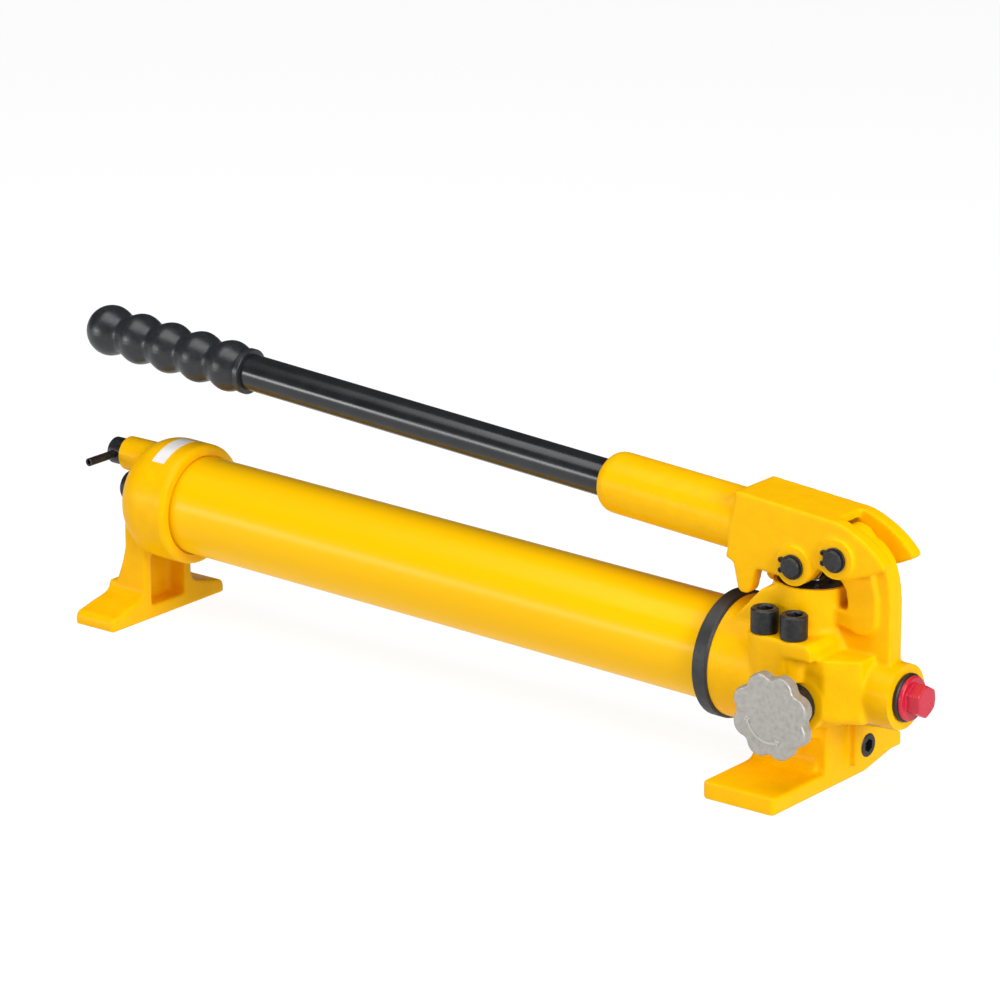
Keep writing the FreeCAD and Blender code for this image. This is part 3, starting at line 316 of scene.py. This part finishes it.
def head_casting(nodes):
    """The pump head: soft cast skin, with its bores and machined faces cut anew."""
    fillers = [
        upright(0, 0, 30, TOWER_TOP - 4, GLAND_BORE + 0.4),
        upright(0, 0, TOWER_TOP - 6, TOWER_TOP + PROUD, TOWER_RADIUS),
        (on_tank(HEAD_REAR - PROUD), on_tank(HEAD_REAR + 2), BARREL_RADIUS),
        (on_tank(HEAD_REAR), on_tank(HEAD_CHAMBER_END + 2), TANK_RADIUS + COVER),
        (outlet_at(OUTLET_FACE - 20), outlet_at(OUTLET_FACE + PROUD), OUTLET_RADIUS),
        (release_at(RELEASE_FACE), release_at(RELEASE_BORE_END), RELEASE_BORE + COVER),
        crosswise(*FULCRUM, 9, PIN_RADIUS + COVER),
        upright(DISCHARGE_X, DISCHARGE_Y, 0, 14, DISCHARGE_BORE + COVER),
        (at(12, GALLERY_Y, GALLERY_Z), at(21.7, GALLERY_Y, GALLERY_Z), GALLERY_BORE + COVER),
    ]
    fillers += [upright(x, ADJUSTER_Y, 64, SHELF_Z, ADJUSTER_BORE + 0.2) for x in ADJUSTER_XS]
    bores = [
        upright(0, 0, TOWER_TOP, TOWER_TOP + 4, TOWER_RADIUS + 1),
        upright(0, 0, GLAND_SEAT, TOWER_TOP + 1, GLAND_RADIUS + 0.2),
        upright(0, 0, 98, GLAND_SEAT + 1, GLAND_BORE),
        upright(0, 0, 61, 99, PISTON_BORE),
        (on_tank(HEAD_REAR), on_tank(HEAD_REAR - 6), BARREL_RADIUS + 2),
        (on_tank(HEAD_REAR - 1), on_tank(TANK_FRONT), TANK_RADIUS + FIT_GAP),
        (on_tank(HEAD_REAR - 1), on_tank(HEAD_CHAMBER_END), TANK_BORE - 1),
        (outlet_at(OUTLET_FACE), outlet_at(OUTLET_FACE + 6), OUTLET_RADIUS + 1),
        (outlet_at(OUTLET_FACE - 16), outlet_at(OUTLET_FACE + 1), OUTLET_BORE),
        (release_at(RELEASE_FACE - 12), release_at(RELEASE_FACE), 13.2),
        (release_at(RELEASE_FACE - 1), release_at(RELEASE_BORE_END), RELEASE_BORE),
        (release_at(RELEASE_BORE_END - 1), release_at(RELEASE_SEAT), BALL_CHAMBER),
        crosswise(*FULCRUM, 12, PIN_RADIUS + 0.05),
        upright(DISCHARGE_X, DISCHARGE_Y, -1, 12, DISCHARGE_BORE),
        (at(12.7, GALLERY_Y, GALLERY_Z), at(23, GALLERY_Y, GALLERY_Z), GALLERY_BORE),
    ]
    for x in ADJUSTER_XS:
        bores.append(upright(x, ADJUSTER_Y, SHELF_Z, ADJUSTER_TOP, ADJUSTER_CUT))
        bores.append(upright(x, ADJUSTER_Y, 69, SHELF_Z + 1, ADJUSTER_BORE))
    piece = casting("head_casting", nodes["pump_head"], CAST_VOXEL, 12, fillers, bores)
    return settle(piece, "pump_frame", "cast_yellow", "pump_head")


def cap_casting(nodes):
    """The rear cap: soft cast skin, with the tank bore, vent boss and nut seat cut anew."""
    fillers = [
        (on_tank(CAP_FRONT), on_tank(CAP_WALL), TANK_RADIUS + COVER),
        (vent_at(VENT_FACE - PROUD), vent_at(VENT_FACE + 8), 10.5),
        (vent_at(VENT_FACE), vent_at(-476), 6.0),
        (on_tank(CAP_REAR), on_tank(CAP_WALL), 7.5),
    ]
    bores = [
        (on_tank(CAP_FRONT + 1), on_tank(CAP_FRONT - 1.5), TANK_RADIUS + 0.9),
        (on_tank(CAP_FRONT + 1), on_tank(TANK_REAR), TANK_RADIUS + FIT_GAP),
        (on_tank(CAP_FRONT + 1), on_tank(CAP_WALL), TANK_BORE),
        (vent_at(VENT_FACE), vent_at(VENT_FACE - 6), 12.0),
        (vent_at(VENT_FACE - 1), vent_at(-480), 5.05),
        (on_tank(CAP_REAR), on_tank(CAP_REAR - 25), 11.2),
        (on_tank(CAP_REAR - 1), on_tank(CAP_WALL + 1), 6.05),
    ]
    piece = casting("cap_casting", nodes["rear_cap"], CAST_VOXEL, 12, fillers, bores)
    return settle(piece, "pump_frame", "cast_yellow", "rear_cap")


def lever_casting(nodes):
    """The lever: soft cast skin, with the pin bosses faced and bored anew."""
    fillers = []
    bores = []
    for x, z in (FULCRUM, PLUNGER_PIN):
        for side in (-1, 1):
            fillers.append((at(x, side * 10, z), at(x, side * (BOSS_FACE + 2), z), BOSS_RADIUS))
            bores.append((at(x, side * BOSS_FACE, z), at(x, side * (BOSS_FACE + 6), z), 14.0))
        bores.append(crosswise(x, z, 30, PIN_RADIUS + FIT_GAP))
    fillers.append((on_handle(18), on_handle(SOCKET_END - 0.5), HANDLE_RADIUS + 0.5))
    bores.append((on_handle(20), on_handle(SOCKET_END + PROUD), HANDLE_RADIUS + FIT_GAP))
    piece = casting("lever_casting", nodes["lever_head"], CAST_VOXEL, 10, fillers, bores)
    return settle(piece, "lever", "cast_yellow", "lever_head")


def knob_casting(nodes):
    """The release knob: a small casting with soft lobes and a bored hub."""
    bottom = release_at(-54)
    fillers = [(bottom, release_at(KNOB_HUB_END), 5.5)]
    bores = [(bottom, release_at(KNOB_HUB_END + 0.5), SPINDLE_RADIUS + FIT_GAP)]
    piece = casting("knob_casting", nodes["release_knob"], 0.4, 6, fillers, bores)
    return settle(piece, "release_valve", "knob_cast", "release_knob")


def moulded_plug(nodes):
    """The red plug with the soft edges of a moulding."""
    piece = casting("moulded_plug", nodes["outlet_plug"], 0.35, 3)
    return settle(piece, "outlet_closure", "plug_red", "outlet_plug")


# ---------------------------------------------------------------- turned pieces


def tube_profile(start, end, radius, bore):
    """Outline of a tube with small bevels on its outer ends."""
    return [(start, bore), (start, radius - BEVEL), (start + BEVEL, radius),
            (end - BEVEL, radius), (end, radius - BEVEL), (end, bore)]


def tank_shell():
    """The tank tube."""
    profile = tube_profile(TANK_REAR, TANK_FRONT, TANK_RADIUS, TANK_BORE)
    piece = lathe("tank_shell", profile, on_tank(0), on_tank(1) - on_tank(0), segments=192)
    return settle(piece, "pump_frame", "tube_yellow", "reservoir_tube")


def handle_shell():
    """The handle tube."""
    profile = tube_profile(20.0, HANDLE_END, HANDLE_RADIUS, HANDLE_BORE)
    piece = lathe("handle_shell", profile, on_handle(0), on_handle(1) - on_handle(0))
    return settle(piece, "lever", "handle_black", "handle_tube")


def grip_profile():
    """Outline of the grip: a short cuff, five beads with round valleys, and a closed domed end."""
    bore = HANDLE_RADIUS + FIT_GAP
    cuff = 13.8
    cuff_length = 3.5
    cuff_bevel = 0.6
    profile = [(GRIP_START, bore), (GRIP_START, cuff - cuff_bevel), (GRIP_START + cuff_bevel, cuff),
               (GRIP_START + cuff_length, cuff)]
    steps_per_bead = 16
    pitches = 4.5
    steps = int(pitches * steps_per_bead)
    for i in range(1, steps):
        beads_left = (steps - i) / steps_per_bead
        swell = 0.5 + 0.5 * math.cos(2 * math.pi * beads_left)
        profile.append((GRIP_LAST_BEAD - beads_left * GRIP_PITCH,
                        GRIP_NECK + (GRIP_BEAD - GRIP_NECK) * swell ** 0.7))
    for i in range(steps_per_bead):
        angle = math.pi / 2 * i / steps_per_bead
        profile.append((GRIP_LAST_BEAD + GRIP_BEAD * math.sin(angle), GRIP_BEAD * math.cos(angle)))
    floor = HANDLE_END + 0.5
    profile += [(GRIP_LAST_BEAD + GRIP_BEAD, 0), (floor, 0), (floor, bore)]
    return profile


def rubber_grip():
    """The ribbed rubber grip with its faint moulding line."""
    direction = on_handle(1) - on_handle(0)
    piece = lathe("rubber_grip", grip_profile(), on_handle(0), direction, segments=144, ridge=0.12)
    return settle(piece, "lever", "grip_rubber", "handle_grip")


# ---------------------------------------------------------------- valve springs


def live_springs(nodes, joints):
    """Copies of the valve springs, each with its own mesh; the point at each fixed end is worked out but not used.
    """
    springs = []
    for joint in joints:
        for entry in joint.get("deforming_nodes", []):
            name = entry["node"]
            low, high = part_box(name)
            anchor = (low + high) / 2
            anchor.z = entry["fixed_end_z_m"]
            bm = bmesh.new()
            bm.from_mesh(nodes[name].data)
            spring = new_piece(name + "_coil", bm)
            soften_shading(spring)
            settle(spring, "pump_frame", "spring_steel", name)
            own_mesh(spring)
            springs.append(spring)
    return springs


# ---------------------------------------------------------------- label and arrow


def blank_label():
    """A blank printed label that follows the dome of the rear cap."""
    thickness = 0.12
    sunk = 0.25
    across_steps = 12
    along_steps = 24
    first, last = math.radians(-8), math.radians(38)
    front, rear = -457.0, -466.5
    bm = bmesh.new()
    sheets = []
    for lift in (-sunk, thickness):
        rows = []
        for i in range(along_steps + 1):
            angle = first + (last - first) * i / along_steps
            row = []
            for j in range(across_steps + 1):
                along = front + (rear - front) * j / across_steps
                radius = cap_radius(along) + lift
                point = on_tank(along, -radius * math.sin(angle), radius * math.cos(angle))
                row.append(bm.verts.new(point))
            rows.append(row)
        sheets.append(rows)
    low, high = sheets
    for i in range(along_steps):
        for j in range(across_steps):
            bm.faces.new((high[i][j], high[i + 1][j], high[i + 1][j + 1], high[i][j + 1]))
            bm.faces.new((low[i][j], low[i][j + 1], low[i + 1][j + 1], low[i + 1][j]))
    rim_low = rim_of(low)
    rim_high = rim_of(high)
    for k in range(len(rim_low)):
        m = (k + 1) % len(rim_low)
        bm.faces.new((rim_low[k], rim_low[m], rim_high[m], rim_high[k]))
    bmesh.ops.recalc_face_normals(bm, faces=bm.faces)
    piece = new_piece("blank_label", bm)
    soften_shading(piece)
    return settle(piece, "pump_frame", "white_plastic")


def rim_of(rows):
    """The verts round the edge of a grid, in order."""
    rim = list(rows[0])
    rim += [row[-1] for row in rows[1:]]
    rim += list(reversed(rows[-1][:-1]))
    rim += [row[0] for row in reversed(rows[1:-1])]
    return rim


def cap_radius(along):
    """Outer radius of the rear cap at a place along the tank's axis."""
    dome_start = CAP_REAR + CAP_DOME
    if along >= dome_start:
        return CAP_RADIUS
    drop = dome_start - along
    return CAP_RADIUS - CAP_DOME + math.sqrt(CAP_DOME ** 2 - drop ** 2)


def knob_arrow():
    """A raised double-headed arc arrow on the knob: turn left or right."""
    radius = 14.5
    half_width = 0.55
    barb = 1.9
    sunk = 0.4
    raised = 0.5
    first, last = math.radians(196), math.radians(292)
    steps = 28
    head = math.radians(10)
    outer = []
    inner = []
    for i in range(steps + 1):
        angle = first + (last - first) * i / steps
        outer.append((angle, radius + half_width))
        inner.append((angle, radius - half_width))
    left = [(first, radius - barb), (first - head, radius), (first, radius + barb)]
    right = [(last, radius + barb), (last + head, radius), (last, radius - barb)]
    outline = left + outer + right + list(reversed(inner))
    bm = bmesh.new()
    loops = []
    for y in (KNOB_FACE + sunk, KNOB_FACE - raised):
        loop = []
        for angle, reach in outline:
            loop.append(bm.verts.new(at(RELEASE_X + reach * math.cos(angle), y,
                                        RELEASE_Z + reach * math.sin(angle))))
        loops.append(loop)
    bm.faces.new(loops[0])
    bm.faces.new(loops[1])
    bridge(bm, loops[0], loops[1])
    bmesh.ops.recalc_face_normals(bm, faces=bm.faces)
    piece = new_piece("knob_arrow", bm)
    return settle(piece, "release_valve", "knob_cast")


# ---------------------------------------------------------------- finishes


class Finish:
    """A procedural material under construction."""

    def __init__(self, name, roughness, metallic=0.0):
        self.material = bpy.data.materials.new(name)
        self.material.use_nodes = True
        tree = self.material.node_tree
        self.nodes = tree.nodes
        self.links = tree.links
        self.shader = self.nodes["Principled BSDF"]
        self.shader.inputs["Roughness"].default_value = roughness
        self.shader.inputs["Metallic"].default_value = metallic
        self.coordinates = self.nodes.new("ShaderNodeTexCoord")

    def noise(self, size, detail=3.0, stretch=(1, 1, 1)):
        """Noise whose features are about size millimetres across."""
        mapping = self.nodes.new("ShaderNodeMapping")
        mapping.inputs["Scale"].default_value = stretch
        self.links.new(self.coordinates.outputs["Object"], mapping.inputs["Vector"])
        texture = self.nodes.new("ShaderNodeTexNoise")
        texture.inputs["Scale"].default_value = 1 / (size * MM)
        texture.inputs["Detail"].default_value = detail
        self.links.new(mapping.outputs["Vector"], texture.inputs["Vector"])
        return texture.outputs["Fac"]

    def ramp(self, value, stops):
        """A colour ramp from (position, colour) stops."""
        ramp = self.nodes.new("ShaderNodeValToRGB")
        elements = ramp.color_ramp.elements
        while len(elements) < len(stops):
            elements.new(0.5)
        for element, (position, colour) in zip(elements, stops):
            element.position = position
            element.color = (*colour, 1)
        self.links.new(value, ramp.inputs["Fac"])
        return ramp.outputs["Color"]

    def spread(self, value, low, high):
        """Maps the middle of a noise to a range."""
        node = self.nodes.new("ShaderNodeMapRange")
        node.inputs["From Min"].default_value = 0.3
        node.inputs["From Max"].default_value = 0.7
        node.inputs["To Min"].default_value = low
        node.inputs["To Max"].default_value = high
        self.links.new(value, node.inputs["Value"])
        return node.outputs["Result"]

    def mottle(self, dark, light, size, stretch=(1, 1, 1)):
        """Colour that wanders between two shades."""
        colour = self.ramp(self.noise(size, 4.0, stretch), [(0.3, dark), (0.7, light)])
        self.links.new(colour, self.shader.inputs["Base Color"])
        return colour

    def dull(self, low, high, size, stretch=(1, 1, 1)):
        """Roughness that wanders between two values."""
        value = self.spread(self.noise(size, 3.0, stretch), low, high)
        self.links.new(value, self.shader.inputs["Roughness"])

    def bump(self, layers, edge=0.0):
        """Bump from (size, depth, stretch) noise layers, over an edge rounding in millimetres."""
        normal = None
        if edge:
            bevel = self.nodes.new("ShaderNodeBevel")
            bevel.samples = 4
            bevel.inputs["Radius"].default_value = edge * MM
            normal = bevel.outputs["Normal"]
        for size, depth, stretch in layers:
            node = self.nodes.new("ShaderNodeBump")
            node.inputs["Distance"].default_value = depth * MM
            self.links.new(self.noise(size, 3.0, stretch), node.inputs["Height"])
            if normal is not None:
                self.links.new(normal, node.inputs["Normal"])
            normal = node.outputs["Normal"]
        if normal is not None:
            self.links.new(normal, self.shader.inputs["Normal"])

    def worn_edges(self, colour, worn, radius):
        """Lets a worn shade show along edges sharper than a radius in millimetres."""
        bevel = self.nodes.new("ShaderNodeBevel")
        bevel.samples = 4
        bevel.inputs["Radius"].default_value = radius * MM
        geometry = self.nodes.new("ShaderNodeNewGeometry")
        dot = self.nodes.new("ShaderNodeVectorMath")
        dot.operation = "DOT_PRODUCT"
        self.links.new(bevel.outputs["Normal"], dot.inputs[0])
        self.links.new(geometry.outputs["Normal"], dot.inputs[1])
        mask = self.nodes.new("ShaderNodeMapRange")
        mask.inputs["From Min"].default_value = BARELY_ROUNDED
        mask.inputs["From Max"].default_value = FULLY_ROUNDED
        self.links.new(dot.outputs["Value"], mask.inputs["Value"])
        mix = self.nodes.new("ShaderNodeMix")
        mix.data_type = "RGBA"
        self.links.new(mask.outputs["Result"], mix.inputs["Factor"])
        self.links.new(colour, mix.inputs["A"])
        mix.inputs["B"].default_value = (*worn, 1)
        self.links.new(mix.outputs["Result"], self.shader.inputs["Base Color"])


BARELY_ROUNDED = 0.995       # the cosine at which a worn edge begins to show
FULLY_ROUNDED = 0.9          # and at which it shows in full

EVEN = (1, 1, 1)             # how a finish's grain is stretched
ALONG_X = (0.08, 1, 1)
ROUND_Z = (1, 1, 12)


def coated(finish, weight, roughness):
    """A clear gloss over a finish whose own sheen is held back, which keeps its colour deep."""
    finish.shader.inputs["Specular IOR Level"].default_value = 0.06
    finish.shader.inputs["Coat Weight"].default_value = weight
    finish.shader.inputs["Coat Roughness"].default_value = roughness


def cast_yellow():
    """Gloss paint over sand-cast iron: fine lumps, and pits that the paint rounds off."""
    finish = Finish("cast_yellow", 0.42)
    finish.mottle((0.90, 0.46, 0.0), (0.94, 0.50, 0.0), 9.0)
    finish.dull(0.34, 0.50, 3.0)
    finish.bump([(7.0, 0.30, EVEN), (2.2, 0.12, EVEN), (0.8, 0.03, EVEN)])
    coated(finish, 0.05, 0.2)
    return finish.material


def tube_yellow():
    """Gloss paint over drawn tube: a long faint orange peel."""
    finish = Finish("tube_yellow", 0.36)
    finish.mottle((0.95, 0.51, 0.0), (0.98, 0.54, 0.0), 20.0, ALONG_X)
    finish.dull(0.30, 0.40, 6.0, ALONG_X)
    finish.bump([(5.0, 0.03, EVEN), (1.5, 0.012, EVEN)])
    coated(finish, 0.14, 0.2)
    return finish.material


def handle_black():
    """Gloss black paint."""
    finish = Finish("handle_black", 0.2)
    finish.mottle((0.010, 0.011, 0.013), (0.018, 0.019, 0.022), 12.0)
    finish.dull(0.16, 0.24, 8.0, ALONG_X)
    finish.bump([(6.0, 0.02, ALONG_X), (0.5, 0.002, EVEN)])
    return finish.material


def satin_black():
    """Satin black paint with fine dust in it."""
    finish = Finish("satin_black", 0.5)
    colour = finish.mottle((0.014, 0.015, 0.016), (0.024, 0.025, 0.027), 4.0)
    finish.dull(0.42, 0.58, 2.0)
    finish.bump([(0.7, 0.03, EVEN)], edge=0.8)
    finish.worn_edges(colour, (0.05, 0.05, 0.055), 0.6)
    return finish.material


def grip_rubber():
    """Matt moulded rubber with a fine spark-eroded grain."""
    finish = Finish("grip_rubber", 0.34)
    finish.mottle((0.014, 0.016, 0.019), (0.022, 0.025, 0.029), 6.0)
    finish.dull(0.28, 0.40, 3.0)
    finish.bump([(0.4, 0.012, EVEN), (4.0, 0.03, EVEN)])
    return finish.material


def black_oxide():
    """Black oxide on machined steel, rubbed a little brighter on its edges."""
    finish = Finish("black_oxide", 0.4, 0.35)
    colour = finish.mottle((0.010, 0.010, 0.011), (0.026, 0.026, 0.028), 2.5)
    finish.dull(0.3, 0.5, 1.5)
    finish.bump([(0.6, 0.02, EVEN)], edge=0.4)
    finish.worn_edges(colour, (0.09, 0.09, 0.095), 0.35)
    return finish.material


def bright_steel(name, dark, light, low, high, stretch):
    """Bare steel with fine tool marks across the stretch."""
    finish = Finish(name, low, 1.0)
    finish.mottle(dark, light, 1.5, stretch)
    finish.dull(low, high, 1.0, stretch)
    finish.bump([(0.4, 0.01, stretch)], edge=0.2)
    return finish.material


def knob_cast():
    """Tumbled die casting: grey patches, small pits and brighter rubbed edges."""
    finish = Finish("knob_cast", 0.5, 0.55)
    greys = [(0.30, (0.36, 0.345, 0.31)), (0.50, (0.41, 0.395, 0.36)), (0.72, (0.45, 0.435, 0.40))]
    patches = finish.ramp(finish.noise(2.6, 6.0), greys)
    finish.links.new(patches, finish.shader.inputs["Base Color"])
    finish.dull(0.40, 0.62, 2.5)
    finish.bump([(3.0, 0.08, EVEN), (0.9, 0.05, EVEN)])
    finish.worn_edges(patches, (0.72, 0.71, 0.68), 0.9)
    return finish.material


def plug_red():
    """Red moulded plastic that lets a little light in."""
    finish = Finish("plug_red", 0.3)
    finish.mottle((0.50, 0.008, 0.030), (0.58, 0.012, 0.040), 4.0)
    finish.dull(0.26, 0.38, 2.0)
    finish.bump([(1.5, 0.02, EVEN)])
    finish.shader.inputs["Subsurface Weight"].default_value = 0.15
    finish.shader.inputs["Subsurface Radius"].default_value = (0.002, 0.0005, 0.0004)
    finish.shader.inputs["Subsurface Scale"].default_value = 1.0
    return finish.material


def seal_rubber():
    """Black nitrile rubber."""
    finish = Finish("seal_rubber", 0.5)
    finish.mottle((0.008, 0.008, 0.008), (0.016, 0.016, 0.016), 2.0)
    finish.dull(0.42, 0.58, 1.0)
    finish.bump([(0.5, 0.01, EVEN)])
    return finish.material


def seal_washer():
    """Copper-coloured sealing washer."""
    finish = Finish("seal_washer", 0.35, 1.0)
    finish.mottle((0.50, 0.24, 0.10), (0.66, 0.36, 0.17), 2.0)
    finish.dull(0.3, 0.45, 1.0)
    finish.bump([(0.5, 0.01, EVEN)])
    return finish.material


def brass_mesh():
    """Woven brass wire."""
    finish = Finish("brass_mesh", 0.4, 1.0)
    finish.mottle((0.45, 0.30, 0.10), (0.62, 0.44, 0.18), 1.0)
    finish.dull(0.35, 0.5, 0.5)
    finish.bump([(0.4, 0.05, EVEN)])
    return finish.material


def white_plastic():
    """White film, a little uneven."""
    finish = Finish("white_plastic", 0.4)
    finish.mottle((0.78, 0.75, 0.74), (0.86, 0.84, 0.83), 8.0)
    finish.dull(0.35, 0.5, 3.0)
    finish.bump([(3.0, 0.02, EVEN)])
    return finish.material


def make_finishes():
    """Every finish by the name of its material slot."""
    return {
        "cast_yellow": cast_yellow(),
        "tube_yellow": tube_yellow(),
        "handle_black": handle_black(),
        "satin_black": satin_black(),
        "grip_rubber": grip_rubber(),
        "black_oxide": black_oxide(),
        "plain_steel": bright_steel("plain_steel", (0.42, 0.41, 0.40), (0.60, 0.59, 0.58),
                                    0.28, 0.42, ROUND_Z),
        "polished_steel": bright_steel("polished_steel", (0.58, 0.57, 0.56), (0.70, 0.69, 0.68),
                                       0.12, 0.2, ROUND_Z),
        "spring_steel": bright_steel("spring_steel", (0.30, 0.30, 0.31), (0.45, 0.45, 0.46),
                                     0.28, 0.4, EVEN),
        "knob_cast": knob_cast(),
        "plug_red": plug_red(),
        "seal_rubber": seal_rubber(),
        "seal_washer": seal_washer(),
        "brass_mesh": brass_mesh(),
        "white_plastic": white_plastic(),
    }


def dress(piece, material):
    """Gives a piece one finish."""
    piece.data.materials.clear()
    piece.data.materials.append(material)


# ---------------------------------------------------------------- stage, light and camera

CAMERA_PLACE = (1.4413, -2.1252, 0.9682)
CAMERA_TARGET = (-0.21786, 0.0, 0.12123)
CAMERA_LENS = 177.2
CAMERA_ROLL = math.radians(-0.11)
FLOOR_GLOW_SEEN = 0.93       # how white the floor looks to the camera
FLOOR_GLOW_CAST = 0.75       # how strongly it lights the object from below
WORLD_CAST = 0.05            # how strongly the white backdrop lights the object


def build_floor():
    """A white floor that looks brighter to the camera than the light it throws back."""
    bm = bmesh.new()
    bmesh.ops.create_grid(bm, x_segments=1, y_segments=1, size=6.0)
    floor = new_piece("floor", bm)
    floor.location.z = -0.0002
    finish = Finish("floor_white", 0.8)
    finish.mottle((0.15, 0.15, 0.15), (0.16, 0.16, 0.16), 400.0)
    finish.shader.inputs["Emission Color"].default_value = (1, 1, 1, 1)
    finish.shader.inputs["Specular IOR Level"].default_value = 0.1
    path = finish.nodes.new("ShaderNodeLightPath")
    glow = finish.nodes.new("ShaderNodeMapRange")
    glow.inputs["To Min"].default_value = FLOOR_GLOW_CAST
    glow.inputs["To Max"].default_value = FLOOR_GLOW_SEEN
    finish.links.new(path.outputs["Is Camera Ray"], glow.inputs["Value"])
    finish.links.new(glow.outputs["Result"], finish.shader.inputs["Emission Strength"])
    dress(floor, finish.material)


def area_light(name, place, target, size, power):
    """A rectangular soft light."""
    data = bpy.data.lights.new(name, "AREA")
    data.shape = "RECTANGLE"
    data.size, data.size_y = size
    data.energy = power
    light = bpy.data.objects.new(name, data)
    light.location = place
    light.rotation_euler = (Vector(target) - Vector(place)).to_track_quat("-Z", "Y").to_euler()
    bpy.context.scene.collection.objects.link(light)


def build_world():
    """A white backdrop that lights the scene more gently than it looks."""
    world = bpy.data.worlds.new("studio")
    bpy.context.scene.world = world
    world.use_nodes = True
    nodes = world.node_tree.nodes
    links = world.node_tree.links
    seen = nodes.new("ShaderNodeBackground")
    seen.inputs["Color"].default_value = (1, 1, 1, 1)
    seen.inputs["Strength"].default_value = 1.0
    cast = nodes["Background"]
    cast.inputs["Color"].default_value = (1, 1, 1, 1)
    cast.inputs["Strength"].default_value = WORLD_CAST
    path = nodes.new("ShaderNodeLightPath")
    mix = nodes.new("ShaderNodeMixShader")
    links.new(path.outputs["Is Camera Ray"], mix.inputs["Fac"])
    links.new(cast.outputs["Background"], mix.inputs[1])
    links.new(seen.outputs["Background"], mix.inputs[2])
    links.new(mix.outputs["Shader"], nodes["World Output"].inputs["Surface"])


def build_lights():
    """A large overhead box, a low wide strip on the camera's left, and a box on its right."""
    middle = (-0.22, 0.0, 0.08)
    area_light("overhead", (-0.2, -0.5, 1.7), middle, (2.2, 1.2), 27)
    area_light("left_box", (-1.75, -2.05, 0.32), middle, (1.6, 0.45), 20)
    area_light("right_box", (1.6, -0.5, 0.8), middle, (0.9, 0.9), 30)


def build_camera():
    """The camera at the usual three-quarter view."""
    data = bpy.data.cameras.new("camera")
    data.lens = CAMERA_LENS
    data.sensor_width = 36.0
    data.clip_end = 100.0
    camera = bpy.data.objects.new("camera", data)
    look = (Vector(CAMERA_TARGET) - Vector(CAMERA_PLACE)).to_track_quat("-Z", "Y").to_matrix().to_4x4()
    camera.matrix_world = Matrix.Translation(CAMERA_PLACE) @ look @ Matrix.Rotation(CAMERA_ROLL, 4, "Z")
    bpy.context.scene.collection.objects.link(camera)
    bpy.context.scene.camera = camera


# ---------------------------------------------------------------- assembly


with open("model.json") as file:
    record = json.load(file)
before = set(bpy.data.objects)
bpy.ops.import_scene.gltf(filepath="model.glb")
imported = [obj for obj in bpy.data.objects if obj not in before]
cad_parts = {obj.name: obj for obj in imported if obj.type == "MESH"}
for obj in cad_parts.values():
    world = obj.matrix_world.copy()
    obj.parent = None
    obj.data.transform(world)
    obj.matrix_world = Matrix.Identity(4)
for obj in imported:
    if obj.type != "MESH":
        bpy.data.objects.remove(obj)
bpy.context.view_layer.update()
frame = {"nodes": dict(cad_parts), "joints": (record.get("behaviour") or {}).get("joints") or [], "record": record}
bpy.context.scene.view_settings.view_transform = "Standard"

nodes = frame["nodes"]
finishes = make_finishes()
for part in frame["record"]["subparts"]:
    dress(nodes[part["node"]], finishes[part["material_slot"]])

pieces = {
    "cast_yellow": [head_casting(nodes), cap_casting(nodes), lever_casting(nodes)],
    "knob_cast": [knob_casting(nodes), knob_arrow()],
    "plug_red": [moulded_plug(nodes)],
    "tube_yellow": [tank_shell()],
    "handle_black": [handle_shell()],
    "grip_rubber": [rubber_grip()],
    "white_plastic": [blank_label()],
    "spring_steel": live_springs(nodes, frame["joints"]),
}
for slot_name, members in pieces.items():
    for member in members:
        dress(member, finishes[slot_name])

build_floor()
build_world()
build_lights()
build_camera()
